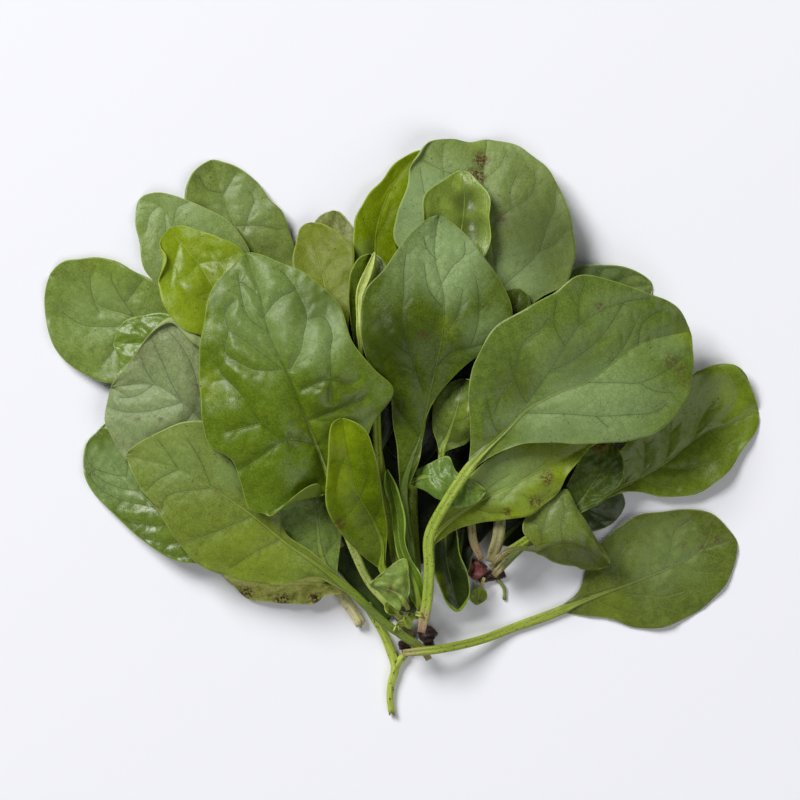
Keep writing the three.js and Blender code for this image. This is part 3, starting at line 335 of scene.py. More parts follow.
        [(98, -84, -1), (119, -76.5, -1), (139, -68, -1), (156, -59, -1), (167, -56.5, -1)],
        [(88, -82), (94, -67), (102, -55), (115, -45.5), (139, -41), (156, -44)],
        [(93, -94.5), (105, -96), (117, -100.5), (131, -99.5), (147, -92.5), (161, -80), (167.5, -64)]),
    "leaf_pointed_right": Lines(
        [(45, -68, 9), (50, -62, 9), (58, -60, 9), (66, -60.5, 9)],
        [(74, -58, 9), (84, -57, 9), (93, -61, 7), (103.5, -69, 4)],
        [(60, -52), (61, -45), (74, -36), (81, -30), (87, -40), (95, -53)],
        [(70, -64), (75, -67), (82, -69), (93, -70)]),
    "leaf_cupped": Lines(
        [(23, 40, 14), (24, 52, 15), (25, 64, 16)],
        [(26.5, 78, 17), (29, 94, 18), (31, 111, 17), (30, 127.5, 15)],
        [(14, 88), (12, 103), (12.5, 116), (20, 122)], [(38, 80), (42.5, 92), (42.5, 104), (40.5, 117.5)],
        0.8),
    "leaf_small_centre": Lines(
        [(41, 6, 12), (44, 18, 13), (47, 30, 14)], [(50, 40, 14), (55, 54, 14), (58.5, 68.5, 12)],
        [(42, 50), (46, 62), (52, 68)], [(60, 46), (64, 56), (62.5, 65)], 0.8),
    "leaf_torn": Lines(
        [(21.8, -37.8, 9), (20, -27, 10), (20, -12, 11)], [(23, -4, 12), (27, 8, 13), (31, 24, 12)],
        [(15, 1), (16, 12), (24, 22)], [(33, -7), (38, 8), (38, 20)], 0.8),
    "leaf_folded_back": Lines(
        [(-15, 8, 12), (-18, 20, 12), (-20, 30, 13)],
        [(-20.5, 40, 14), (-18, 56, 15), (-17, 72, 15), (-16, 86, 14)],
        [(-24, 50), (-25.5, 66), (-25, 77), (-21, 84)], [(-14, 50), (-9, 66), (-7, 78), (-11, 85)], 0.8),
    "leaf_edge_on": Lines(
        [(-18, 22, 15), (-19.5, 30, 16), (-20.5, 38, 17)],
        [(-21, 50, 18), (-21, 66, 18), (-17.5, 75, 18), (-13.5, 87, 17)],
        [(-22.5, 50), (-22.5, 66), (-19, 77)], [(-19.5, 50), (-19.5, 65), (-15.5, 75)], 0.5),
    "leaf_centre": Lines(
        [(5, -85, 6), (5.5, -76, 7), (4.5, -61, 10), (2, -46, 12), (1, -30, 14)],
        [(5, -17, 19), (9.5, -5.5, 22), (13.5, 15.5, 27), (19.5, 43.5, 33), (20.5, 64, 34), (16, 86, 31),
         (18, 105, 24)],
        [(-2, -14), (-5, 4), (-7, 22), (-16.5, 32), (-20.5, 46), (-19, 65), (-7.5, 80.5), (5, 97)],
        [(9, -14), (13, 8), (22, 21), (33, 32), (46, 41), (54.5, 55), (48, 73.5), (36, 90), (25, 101.5)]),
    "leaf_under_front": Lines(
        [(12.6, -78, 8), (13.3, -68, 9), (14, -58, 10)],
        [(21, -49, 12), (40, -36, 13), (58, -27, 13), (78, -17, 12), (98, -6, 9)],
        [(19, -40), (40, -18), (60, -6), (82, -3)],
        [(27, -51), (35, -48), (50, -46), (65, -42.5), (77, -32), (85, -20), (93, -11)]),
    "leaf_strap_front": Lines(
        [(-1, -29, 7), (1, -28, 7.5), (3.2, -27, 8)],
        [(14, -24.5, 12), (24, -29, 15), (33, -33, 15), (41.5, -32, 14)],
        [(7, -21.5), (14, -17.5), (23, -14), (27, -22), (36, -27)],
        [(8, -30), (12, -31.5), (18, -36), (27, -40), (35, -38.5)], 0.7),
    "leaf_front_right": Lines(
        [(9.5, -102, 9), (12.5, -86, 9), (13.5, -70, 13), (13.5, -54, 15), (22, -37, 18), (35, -18, 22)],
        [(52, -1, 31), (62, 9, 35), (77, 17, 38), (91, 22, 38), (117, 41, 31), (143, 48, 20)],
        [(34, -6), (33, 20), (38, 37), (48, 51), (75, 66), (87.5, 75.5), (102, 73), (120, 67), (137, 59)],
        [(45, -14), (60, -8.5), (89, -8), (117, -6), (135, 5), (143, 20), (144.5, 36)]),
    "leaf_front_bright": Lines(
        [(-3, -85, 9), (-6, -77, 12), (-10, -69, 15)],
        [(-9.5, -60, 19), (-14, -47, 25), (-21, -34, 31), (-27, -12, 35), (-29.5, 4.5, 35)],
        [(-18, -65), (-31, -52), (-37.5, -38), (-36, -14), (-34.5, 2)],
        [(-8, -64), (-7.5, -50), (-10, -33), (-14, -12), (-18, -1)]),
    "leaf_pale_folded": Lines(
        [(3, -91, 8), (2.5, -89, 9), (1, -87, 10)], [(-2, -83, 13), (-9, -79.5, 14), (-16, -78, 13)],
        [(-1, -90.5), (-5, -88), (-11, -82.5)],
        [(3.5, -82), (3.2, -72), (2.4, -65.5), (0, -65), (-8, -70.5), (-14.5, -76)], 0.7),
    "seed_leaf": Lines(
        [(41, -75, 4), (40, -78, 3), (39, -80, 2)], [(38.5, -83, 1), (38, -86, 0), (37.5, -89, -1)],
        [(42, -82), (42.5, -86)], [(35, -82), (34, -86)], 0.5),
}
# Leaves in the shade under the stalks, coloured dark green as painted shade: each lies flat on the table, and
# stands for a part of a packed leaf.
SHADE_LEAVES = {
    "leaf_under_stalks": Lines(
        [(6, -105.5, 1.4), (1, -99, 1.4), (-3, -92.5, 1.4)],
        [(-11, -81.5, 1.4), (-23.5, -64, 1.4), (-32, -46.5, 1.4)],
        [(-7, -97), (-17.5, -87.5), (-29.5, -75.5), (-39.5, -61)],
        [(7, -93), (8, -78), (0, -60), (-13, -46)]),
}
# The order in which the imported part's leaves and stems lie on each other, from the table up.
LAYING = """
    forked_root_stub, cut_stem, main_crown, right_crown, rootlet,
    under_leaf_crown, under_leaf_stems, under_leaf_low_left, under_leaf_foot, under_leaf_left,
    under_leaf_low_right, under_leaf_right, under_leaf_centre, under_leaf_back, under_leaf_upper_right,
    seed_leaf, leaf_back_brown, leaf_back_left, leaf_far_left, leaf_low_left, leaf_foot_muddy,
    leaf_upper_right, leaf_top_bright, leaf_under_right, leaf_right, leaf_small_left, leaf_left_grey,
    leaf_upper_left, leaf_olive, leaf_bright_left, leaf_top_round, leaf_crumpled, leaf_ribbed,
    leaf_v_folded, leaf_front_left stalk, leaf_lower_left, leaf_lower_right, heart_leaf_1, heart_leaf_2,
    heart_leaf_3, leaf_pointed_right, leaf_cupped, leaf_small_centre, leaf_torn, leaf_folded_back,
    leaf_edge_on, leaf_under_front, leaf_strap_front, leaf_centre, strap_leaf, leaf_front_left blade,
    leaf_front_right, leaf_front_bright, leaf_pale_folded
"""

# ---- Side veins, each as points from its root outwards. A leaf without a list grows its own. ----
VEINS = {
    "leaf_far_left": [
        [(-134, 55.5), (-138.5, 62), (-144.5, 72), (-145.5, 76)], [(-137.5, 62.5), (-130, 73)],
        [(-143, 50), (-159.5, 51), (-169.5, 57)], [(-151.5, 57), (-155, 66), (-156, 75.5)],
        [(-134, 55.5), (-142, 41), (-149, 32.5)]],
    "leaf_upper_left": [
        [(-114.5, 101), (-112, 109.5), (-106, 112.5)], [(-121.5, 110.5), (-126, 106), (-128, 97.5)],
        [(-118.5, 106.5), (-117, 93.5), (-113, 87.5)]],
    "leaf_bright_left": [
        [(-110.5, 71), (-104, 64.5), (-98, 62.5)], [(-96.5, 88), (-88, 78)],
        [(-110.5, 91.5), (-113, 82.5), (-115, 70.5)], [(-101.5, 81), (-106, 75.5), (-112, 72.5)],
        [(-101.5, 81), (-94, 82.5), (-87, 81.5)]],
    "leaf_back_left": [
        [(-89.5, 116), (-83.5, 126)], [(-78.5, 99), (-76, 108), (-74, 113), (-75.5, 117)],
        [(-83, 100.5), (-90, 102.5), (-98, 109.5)], [(-90, 117), (-97, 118.5), (-101, 124.5)],
        [(-83, 100.5), (-70, 100.5), (-61, 98.5)]],
    "leaf_front_left": [
        [(-59, 28.5), (-72.5, 28.5), (-81, 32.5), (-87.5, 37.5), (-85.5, 48.5)],
        [(-59, 28.5), (-77, 42.5), (-85.5, 48.5), (-87.5, 56.5), (-83.5, 62)],
        [(-55, 29), (-50, 38), (-48.5, 46.5), (-47, 53.5), (-48, 58.5), (-52.5, 68), (-58, 76)],
        [(-34.5, 13), (-35.5, 36.5), (-34.5, 46.5), (-39, 54.5), (-47, 53.5)],
        [(-52.5, -10.5), (-68.5, 1), (-79, 16), (-90.5, 29), (-91.5, 36.5)], [(-70, 2), (-86.5, -2)],
        [(-33.5, 8), (-19, 14)], [(-66, 46.5), (-76, 54.5), (-79.5, 65.5), (-81, 75.5)],
        [(-47, 3), (-33.5, 8)], [(-68.5, 54.5), (-61, 63.5), (-52.5, 68)],
        [(-41.5, -9), (-56, -6.5), (-70, -14.5), (-81, -21.5)], [(-70, 64), (-78, 71), (-83, 73.5)],
        [(-49.5, 18.5), (-36, 23.5), (-25, 21)]],
    "leaf_left_grey": [
        [(-110, 13.5), (-115, 23), (-120, 34.5), (-124, 43)],
        [(-100.5, 15.5), (-103, 27), (-108.5, 38.5), (-116, 48)],
        [(-110, 12), (-126, 8), (-137.5, 7.5), (-144.5, 9.5)],
        [(-123, 21.5), (-127.5, 28.5), (-129.5, 34.5)], [(-103, 8.5), (-111, -1.5), (-121, -6.5)],
        [(-123, 21.5), (-132, 15.5), (-140, 14.5)]],
    "leaf_lower_left": [
        [(-94.5, -30), (-100, -16.5), (-106, -6.5)], [(-94.5, -30), (-117, -34.5), (-119.5, -41.5)],
        [(-74, -44), (-79, -26.5), (-87, -12.5)], [(-111, -21), (-117, -11.5), (-121, -6.5)],
        [(-74, -44), (-91, -51.5), (-106, -56.5)], [(-60, -55.5), (-70, -60.5), (-85, -69.5)],
        [(-111, -21), (-122, -26.5), (-127, -31.5)], [(-60, -55.5), (-61, -39), (-70, -25.5)]],
    "leaf_ribbed": [
        [(-43, -42.5), (-52, -39.5), (-60, -42.5)], [(-41.5, -58), (-51, -56.5), (-58.5, -62.5)],
        [(-42.5, -50.5), (-36, -42.5), (-32, -39)], [(-40.5, -67.5), (-34, -59), (-30.5, -54)]],
    "leaf_front_right": [
        [(61.5, 11.5), (72, 26.5), (80.5, 39.5), (87, 49.5), (97.5, 57), (110, 62), (122, 64)],
        [(61.5, 11.5), (55.5, 24), (53, 34)], [(55.5, 24.5), (58, 37), (62, 43.5), (68.5, 48), (72, 53.5)],
        [(55.5, 24), (49, 15.5), (45.5, 6.5)], [(87, 49.5), (88, 64.5), (91, 72.5)],
        [(117, 41), (118.5, 50.5), (124.5, 56), (129.5, 58)],
        [(91, 22), (106, 22), (117, 22), (131, 28), (138.5, 34)], [(117, 22), (125, 18), (134, 17)],
        [(61.5, 7), (82, 6.5), (95.5, 5.5), (110, 6), (125, 7.5), (131, 11.5)], [(95.5, 5.5), (102, 0)],
        [(102, 30.5), (110, 40.5), (116, 52.5)], [(80.5, 39.5), (75, 51), (77, 63.5)],
        [(49, -4.5), (45, 1.5), (42, 13.5)], [(72, 26.5), (85, 33.5), (99, 45.5), (110, 62)]],
    "leaf_centre": [
        [(10.5, 18), (4.5, 35), (1.5, 44.5), (0, 54), (1, 69), (1, 78), (2, 85.5)],
        [(33.5, 39), (37, 49.5), (38, 62.5), (36.5, 74)], [(20, 71.5), (25, 79.5), (31, 85.5), (31, 91)],
        [(17.5, 30.5), (25, 37.5), (33.5, 39), (44, 42.5)], [(19.5, 43.5), (27, 54.5), (30, 67.5)],
        [(19.5, 59.5), (13, 68.5), (11, 80.5)], [(9.5, -5.5), (-1, 7.5), (-8, 23.5), (-12, 38.5)],
        [(5, -17), (15, -0.5), (25, 11.5)], [(4.5, 35), (-5, 42.5), (-11, 53.5)],
        [(17, 83), (12, 88.5), (11, 93.5)]],
    "leaf_top_round": [
        [(49, 69), (68, 87), (72, 98.5), (76, 108.5), (76.5, 117)],
        [(42.5, 99), (54.5, 108.5), (63.5, 114.5), (66.5, 121.5), (66, 127)],
        [(21, 125), (20, 132), (20.5, 140.5)], [(11, 132.5), (21, 127.5), (42.5, 118.5)],
        [(11, 116.5), (9, 128.5)], [(42.5, 99), (29, 108.5), (19, 111.5), (11, 116.5)],
        [(42, 84.5), (34, 93.5), (25, 95.5)], [(68, 87), (77, 91.5), (82, 98.5)],
        [(40.5, 123), (49, 130.5), (52, 137.5)], [(54.5, 108.5), (54, 117.5), (57, 125.5)]],
    "leaf_right": [
        [(130.5, -20), (133, -9), (133, 2.5)], [(119.5, -26), (121, -15), (120.5, -8)],
        [(111.5, -29.5), (109, -17.5)], [(130.5, -20), (141, -21), (149.5, -19), (159, -16.5)],
        [(153, -3), (160, -9), (167.5, -9.5)], [(145.5, -7), (149, 3.5), (155, 12.5)],
        [(161, 3.5), (167, 12.5), (168, 19.5)], [(119.5, -26), (129, -29.5), (137, -30.5)]],
    "leaf_lower_right": [
        [(124.5, -71), (126, -56.5), (123.5, -52)], [(133.5, -67.5), (137, -52), (144.5, -47)],
        [(150.5, -63), (160, -66)], [(140.5, -69), (148.5, -72.5), (160, -73)],
        [(136.5, -70), (142.5, -80.5), (148.5, -82)],
        [(110.5, -83.5), (121, -84.5), (132, -85), (140.5, -82.5)],
        [(108.5, -80.5), (108, -68.5), (112, -58.5)], [(148.5, -63), (153, -56.5), (155, -50.5)],
        [(119.5, -76.5), (129, -89.5), (137, -92.5)], [(94, -85), (105, -90.5), (117, -94.5)]],
    "leaf_olive": [
        [(-40, 76), (-45, 82.5), (-48, 88.5)], [(-40, 76), (-34, 82.5), (-28, 85.5)],
        [(-37, 63.5), (-31, 69.5), (-26, 73.5)]],
    "leaf_top_bright": [
        [(-13, 93.5), (-18, 100.5), (-20, 107.5)], [(-13, 93.5), (-8, 102.5), (-5, 111)],
        [(-11, 113.5), (-6, 121), (-2, 125.5)]],
    "leaf_front_bright": [
        [(-27, -12), (-31, -21.5), (-33, -31.5)], [(-21, -35), (-26, -42.5), (-31, -46.5)],
        [(-21, -35), (-17, -25.5), (-18, -14.5)], [(-14, -47), (-10, -36.5), (-11, -26.5)]],
    "leaf_under_front": [
        [(34, -39), (45, -28.5), (53, -23.5)], [(49, -36.5), (59, -26.5), (71, -17.5)],
        [(59, -33.5), (69, -36.5), (77, -32.5)], [(34, -39), (44, -42.5), (53, -42.5)]],
}

# ---- How each leaf looks ----
@dataclass
class Look:
    """Colours are 0 to 255 as seen. A tone is how much lighter than the body a part is, or darker below 0."""
    body: tuple
    # The veins' tone: below 0 it is painted shade in the grooves along and beside them, above 0 their own
    # pale colour.
    veins: float = -0.2  # their tone
    lines: float = 1  # how clear the veins' lines are
    rough: float = 0.42
    gloss: float = 0.3
    quilt: float = 0.8  # how far the cells between the veins bulge
    crumple: float = 0  # the depth of small creases
    ruffle: float = 1  # how far the margins rise and fall
    valley: float = 0  # the depth of the trough along the midrib
    rib: float = 0.3  # the midrib's tone
    stalk: tuple = (148, 168, 54)
    stout: float = 1  # the stalk's width, as a share of its usual one
    foot: float = 0.5  # how brown its foot is
    back: float = 0.8  # how pale the underside is
    roll: float = HEM_RADIUS  # the radius that its hems are folded round
    mud: float = 0
    # A band is painted light: a lighter strip along the margins where they catch the light.
    band: tuple = None  # along the margins: its width, its colour, and the share of the blade where it starts
    node: str = None  # the node that it stands for, if not the one of its own name
    slot: str = None  # and the slot, if not that node's own; nothing here reads it
    height: float = None  # of a leaf that lies flat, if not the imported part's heights
    hollows: tuple = ()  # dents: x, y, reach, depth
    hems: tuple = ()  # folded margins: side, middle share, half the range, width, and 1 for up or -1 for down
    # Soft patches, each x, y, radius and strength. The first three kinds are painted light and shade: a
    # yellow glow of light through the thin leaf, a bluish sheen of a broad reflection, and shade in hollows,
    # folds and parts turned from the light. The last, brown, is the leaf's own blemishes.
    painted_glow: tuple = ()  # soft patches of a tint: x, y, radius, strength
    painted_sheen: tuple = ()
    dark: tuple = ()
    brown: tuple = ()


# The kinds of soft patch: painted glow, painted sheen, painted shade, and the leaf's own brown blemishes.
TINTS_AND_PAINTED_LIGHT = ("painted_glow", "painted_sheen", "dark", "brown")
LEAF_LOOKS = {
    "leaf_front_left": Look((90, 114, 12), veins=-0.34, rough=0.4, quilt=2.2, ruffle=1.4, valley=2.2,
        rib=-0.35, stalk=(204, 220, 116), back=0.6, roll=3, hems=[("left", 0.085, 0.11, 19, 1)],
        painted_glow=[(-97, 20, 14, 0.6), (-99, 50, 12, 0.5), (-46, 2, 8, 0.5)], painted_sheen=[(-66, 60, 42, 0.6),
        (-40, 46, 26, 0.8)], dark=[(-34, 14, 20, 0.35), (-44, 60, 20, 0.45)], brown=[(-30, 22, 2, 0.6)]),
    "leaf_front_right": Look((94, 116, 34), veins=-0.3, quilt=0.7, valley=1.6, rib=0.2, stalk=(162, 184, 66),
        stout=1.22, foot=1, painted_glow=[(139, 46, 9, 0.8)], painted_sheen=[(100, 10, 44, 1), (72, 0, 26, 1),
        (82, 34, 24, 0.5), (104, 56, 22, 0.4), (130, 40, 16, 0.55)], dark=[(55, 22, 22, 0.5),
        (84, 34, 18, 0.5)], brown=[(133, 33, 6, 0.55), (138, 28, 5, 0.5), (98, 60, 4, 0.7),
        (142, 22, 7, 0.35), (64, 28, 3, 0.3)]),
    # Its stalk's darker green is painted shade, where the stalk runs down under the other leaves.
    "leaf_centre": Look((70, 90, 10), veins=-0.3, gloss=0.2, quilt=0.9, valley=1.6, rib=0.2,
        stalk=(104, 126, 50), painted_glow=[(22, 50, 8, 0.5)], painted_sheen=[(20, 84, 34, 1.3), (42, 46, 18, 0.6)],
        dark=[(-4, 44, 22, 0.9), (0, 10, 16, 0.3)], brown=[(10, 46, 3.5, 0.7)]),
    "leaf_top_round": Look((118, 138, 66), veins=-0.36, rough=0.55, quilt=0.6, valley=0.8, rib=-0.25,
        stalk=(150, 148, 96), stout=1.4, foot=0.3, hems=[("left", 0.78, 0.1, 3.5, 1)],
        painted_glow=[(36, 141, 6, 0.7)], painted_sheen=[(12, 112, 34, 1.25), (58, 76, 22, 0.9)], dark=[(68, 98, 34, 0.8),
        (58, 126, 14, 0.35)], brown=[(39, 133, 6, 1.2), (37, 125, 7, 1.1), (50, 104, 5, 0.5)]),
    "leaf_left_grey": Look((130, 145, 94), veins=-0.45, rough=0.48, quilt=1.2, crumple=0.3, valley=1.4,
        rib=-0.2, mud=0.1, hems=[("right", 0.5, 0.42, 8, 1)], painted_sheen=[(-125, 10, 30, 0.5)],
        dark=[(-104, 12, 14, 0.3)], brown=[(-131, 4, 2.5, 0.6), (-120, 4, 2.5, 0.6), (-102, 22, 3, 0.6),
        (-131, 36, 9, 0.3)]),
    "leaf_lower_left": Look((112, 130, 40), veins=-0.32, lines=1.2, rough=0.46, valley=1.2,
        stalk=(122, 144, 48), painted_glow=[(-76, -66, 30, 0.6), (-118, -10, 20, 0.4)], painted_sheen=[(-114, -14, 32, 0.45),
        (-84, -20, 22, 0.5)], brown=[(-122, -40, 4, 0.6), (-92, -31, 3, 0.4)]),
    "leaf_far_left": Look((116, 138, 56), veins=-0.4, quilt=1.3, crumple=0.2, ruffle=1.2, valley=1.2,
        painted_glow=[(-150, 76, 18, 0.4)], painted_sheen=[(-150, 56, 30, 0.4)], brown=[(-138, 42, 3, 0.3)]),
    "leaf_small_left": Look((104, 130, 44), veins=0.12, rough=0.34, quilt=1.2, crumple=0.6, ruffle=1.2,
        valley=0.8, painted_glow=[(-139, 18, 6, 0.9)]),
    "leaf_upper_left": Look((122, 144, 70), veins=-0.34, rough=0.46, quilt=1, valley=1.2,
        painted_glow=[(-127, 92, 12, 0.3)], painted_sheen=[(-112, 102, 26, 0.45)]),
    "leaf_bright_left": Look((118, 140, 8), veins=0.22, rough=0.4, quilt=1.2, ruffle=0.8, valley=1.4,
        hems=[("left", 0.82, 0.17, 5, 1)], dark=[(-96, 64, 14, 0.35)], brown=[(-92, 80, 1.6, 0.8),
        (-94, 76, 1.2, 0.8)]),
    "leaf_back_left": Look((112, 131, 54), veins=-0.4, quilt=1.1, ruffle=1.2, valley=1.2,
        painted_sheen=[(-80, 112, 24, 0.5)], dark=[(-66, 88, 12, 0.3)]),
    "leaf_olive": Look((106, 118, 30), veins=0.16, rough=0.5, gloss=0.15, crumple=0.2, valley=0.8,
        brown=[(-40, 92, 8, 0.15)]),
    "leaf_back_brown": Look((124, 132, 62), rough=0.55, crumple=0.6, ruffle=1.2, mud=0.25),
    "leaf_top_bright": Look((108, 128, 2), veins=-0.18, lines=0.5, gloss=0.12, ruffle=0.8, valley=1.2,
        painted_glow=[(-6, 122, 18, 0.7)], painted_sheen=[(-20, 86, 10, 0.3)], dark=[(-8, 76, 14, 0.25)]),
    "leaf_upper_right": Look((112, 132, 64), veins=-0.3, rough=0.45, quilt=1, ruffle=0.8, valley=1,
        stalk=(152, 146, 92), foot=0.7, painted_sheen=[(96, 74, 16, 0.6)]),
    "leaf_cupped": Look((122, 144, 52), lines=0.4, rough=0.38, quilt=0.1, ruffle=0.4,
        hollows=[(32.5, 113, 7, 4), (34, 100, 7.5, 4.6)], hems=[("left", 0.6, 0.4, 2, 1),
        ("right", 0.6, 0.4, 2.6, 1)], dark=[(32, 112, 11, 1), (34, 98, 12, 1.1)]),
    "leaf_right": Look((100, 121, 20), veins=0.26, rough=0.4, quilt=1.1, ruffle=1.2, valley=1,
        stalk=(104, 124, 44), hems=[("left", 0.8, 0.12, 4, -1)], painted_glow=[(163, 14, 12, 0.7)],
        dark=[(120, -10, 20, 0.4)]),
    "leaf_lower_right": Look((80, 95, 22), veins=0.3, rough=0.44, ruffle=0.8, valley=0.8,
        stalk=(156, 172, 62), painted_glow=[(104, -88, 16, 0.3)], painted_sheen=[(130, -66, 30, 0.4)],
        brown=[(157, -56, 3, 0.8), (141, -59, 3, 0.6), (150, -60, 2, 0.6)]),
    "leaf_under_right": Look((52, 68, 24), veins=0.14, rough=0.4),
    "leaf_crumpled": Look((56, 74, 14), veins=0.16, rough=0.48, gloss=0.15, crumple=1.4, ruffle=1.5,
        painted_glow=[(99, -8, 8, 0.6)], brown=[(99, -9, 7, 1)]),
    "leaf_ribbed": Look((108, 132, 60), veins=0.24, rough=0.36, gloss=0.15, quilt=1, crumple=0.6, valley=-1,
        mud=0.3, painted_sheen=[(-58, -40, 14, 0.5)], dark=[(-36, -40, 12, 0.4)]),
    "leaf_pointed_right": Look((98, 114, 32), veins=-0.3, rough=0.38, quilt=0.6, ruffle=0.8, valley=0.8,
        rib=-0.25, stalk=(112, 118, 58), stout=0.5, hems=[("right", 0.75, 0.22, 3, -1)],
        painted_sheen=[(78, -44, 16, 0.4)], dark=[(90, -62, 12, 0.4)]),
    "leaf_low_left": Look((98, 120, 42), veins=-0.3, rough=0.3, quilt=1.1, crumple=0.35, valley=0.8,
        painted_glow=[(-112, -50, 14, 0.3)], painted_sheen=[(-142, -22, 26, 0.9)]),
    "leaf_foot_muddy": Look((200, 206, 96), veins=-0.25, rough=0.45, quilt=1, crumple=1.3, ruffle=1.4,
        mud=0.15, brown=[(-60, -87, 7, 1.2), (-44, -86, 6, 1.1), (-78, -83, 6, 1.1), (-34, -76, 6, 0.8)]),
    # Its near-black body and its dark patch are painted shade inside the V of the fold; its glow patches and
    # band are painted light on its lit halves.
    "leaf_v_folded": Look((34, 48, 10), veins=0.1, rough=0.4, quilt=0.3, ruffle=0.4, valley=3, back=0.1,
        band=(2.4, (140, 172, 40), 0.62), hems=[("left", 0.75, 0.3, 2.6, 1), ("right", 0.8, 0.35, 2.2, 1)],
        painted_glow=[(18, -76, 6, 0.9), (20, -82, 5, 0.9)], dark=[(26, -74, 8, 1.2)]),
    "strap_leaf": Look((92, 120, 20), quilt=0.5, ruffle=1.6, valley=1.5, band=(0.8, (140, 168, 60), -0.6),
        dark=[(8, -84, 8, 0.5), (-3, -52, 7, 0.3)]),
    "leaf_small_centre": Look((70, 88, 10), rough=0.44, quilt=0.5, ruffle=0.6),
    "leaf_torn": Look((96, 116, 40), veins=-0.24, rough=0.4, quilt=0.6, crumple=0.4, ruffle=1.4,
        painted_glow=[(34, 8, 8, 0.5)], dark=[(24, -4, 10, 0.5)]),
    "leaf_folded_back": Look((84, 104, 8), quilt=0.6, ruffle=0.8, valley=1,
        hems=[("left", 0.5, 0.4, 2.4, 1)], dark=[(-18, 60, 14, 0.3)]),
    "leaf_edge_on": Look((186, 202, 96), veins=-0.12, rough=0.44, quilt=0.2, ruffle=0.4),
    "leaf_under_front": Look((112, 130, 22), veins=-0.26, lines=0.8, rough=0.44, gloss=0.2, quilt=1,
        ruffle=1.2, valley=0.8, painted_glow=[(62, -40, 14, 0.8), (80, -22, 10, 0.6)], painted_sheen=[(50, -22, 24, 0.8)],
        dark=[(20, -46, 9, 0.4)], brown=[(66, -37, 5, 1), (52, -42, 3.4, 1), (72, -25, 5, 1.1)]),
    "leaf_strap_front": Look((100, 130, 48), lines=0.5, rough=0.4, quilt=0.7, crumple=0.9, ruffle=1.4,
        foot=0, painted_glow=[(36, -32, 7, 0.4)]),
    "leaf_front_bright": Look((92, 114, 2), veins=-0.24, lines=0.5, gloss=0.12, ruffle=0.8, valley=2,
        rib=0.08, painted_glow=[(-31, -8, 14, 1), (-33, -26, 13, 0.9), (-27, -40, 9, 0.5)],
        dark=[(-13, -22, 11, 0.5), (-16, -40, 12, 0.6)], brown=[(-31, -48, 5, 0.7)]),
    "leaf_pale_folded": Look((126, 150, 62), veins=-0.16, rough=0.5, quilt=0.5, crumple=1.3, ruffle=1.6,
        valley=-2, dark=[(-8, -72, 7, 0.4), (-1, -84, 6, 0.6)], brown=[(-6, -80, 3.4, 0.8)]),
    "seed_leaf": Look((126, 146, 46), veins=-0.05, rough=0.46, quilt=0.1, ruffle=0.2,
        brown=[(39.3, -87.5, 2, 1), (36, -83, 2, 0.5)]),
}
HEART_LOOK = Look((140, 160, 52), veins=-0.38, quilt=0.3, crumple=0.3, ruffle=0.8)
# Its dark green is painted shade over the part of a real leaf that it stands for.
SHADE_LOOK = Look((52, 72, 16), veins=-0.38, rough=0.5, quilt=0.5, ruffle=0.3, stalk=(92, 108, 34),
    node="under_leaf_foot", slot="dark_leaf", height=1.4)
# The leaves inside the heap are near black: painted shade, so that the hollows between the leaves look deep.
SHADED_HIDDEN_LOOK = Look((24, 34, 10), veins=-0.38, rough=0.5, quilt=0.6, valley=1)


# ---- Curves ----
def smoothly(points):
    """Many close points on the centripetal Catmull-Rom curve through the given ones."""
    known = np.array([[*p, 0][:3] for p in points], float)
    count = len(known)
    known = np.vstack([2 * known[0] - known[1], known, 2 * known[-1] - known[-2]])
    share = np.arange(CURVE_STEPS * (count - 1) + 1) / CURVE_STEPS
    first = np.minimum(share.astype(int), count - 2)
    t = (share - first)[:, None]
    p = [known[first + i] for i in range(4)]
    gaps = [np.sqrt(np.linalg.norm(p[i + 1] - p[i], axis=1))[:, None] for i in range(3)]
    touching = 1e-4
    gaps[1] = np.where(gaps[1] < touching, 1, gaps[1])
    gaps[0], gaps[2] = (np.where(gap < touching, gaps[1], gap) for gap in (gaps[0], gaps[2]))
    leave = (p[1] - p[0]) / gaps[0] - (p[2] - p[0]) / (gaps[0] + gaps[1]) + (p[2] - p[1]) / gaps[1]
    reach = (p[2] - p[1]) / gaps[1] - (p[3] - p[1]) / (gaps[1] + gaps[2]) + (p[3] - p[2]) / gaps[2]
    leave, reach = leave * gaps[1], reach * gaps[1]
    square = -3 * p[1] + 3 * p[2] - 2 * leave - reach
    cube = 2 * p[1] - 2 * p[2] + leave + reach
    return p[1] + t * (leave + t * (square + t * cube))


def reached(line):
    """The length along a line at each of its points."""
    return np.concatenate([[0], np.cumsum(np.linalg.norm(np.diff(line, axis=0), axis=1))])


def along(line, shares):
    """The points at the given shares of a line's length."""
    far = reached(line)
    return np.stack([np.interp(np.asarray(shares) * far[-1], far, line[:, k]) for k in range(3)], 1)


def at_rows(values, rows):
    """A table's values at fractional row numbers, in a straight line between its rows."""
    return np.stack([np.interp(rows, np.arange(len(values)), column) for column in values.T], 1)


def leftward(line):
    """The level unit vector to the left of a line at each of its points."""
    ahead = np.vstack([line[1:], line[-1:]])
    behind = np.vstack([line[:1], line[:-1]])
    side = np.stack([behind[:, 1] - ahead[:, 1], ahead[:, 0] - behind[:, 0]], 1)
    return side / np.linalg.norm(side, axis=1, keepdims=True)


def fade(value, low=0.0, high=1.0):
    """0 below low, 1 above high, and a smooth step between them."""
    t = np.clip((value - low) / (high - low), 0, 1)
    return t * t * (3 - 2 * t)


def hump(value, middle, reach):
    """1 at the middle, falling smoothly to 0 at reach on either side."""
    return fade(1 - np.abs(value - middle) / reach)


def risen(distance, reach, power):
    """0 at no distance, and towards 1 past the reach: 1 less the exponential of minus a power of it."""
    return 1 - np.exp(-(distance / reach) ** power)


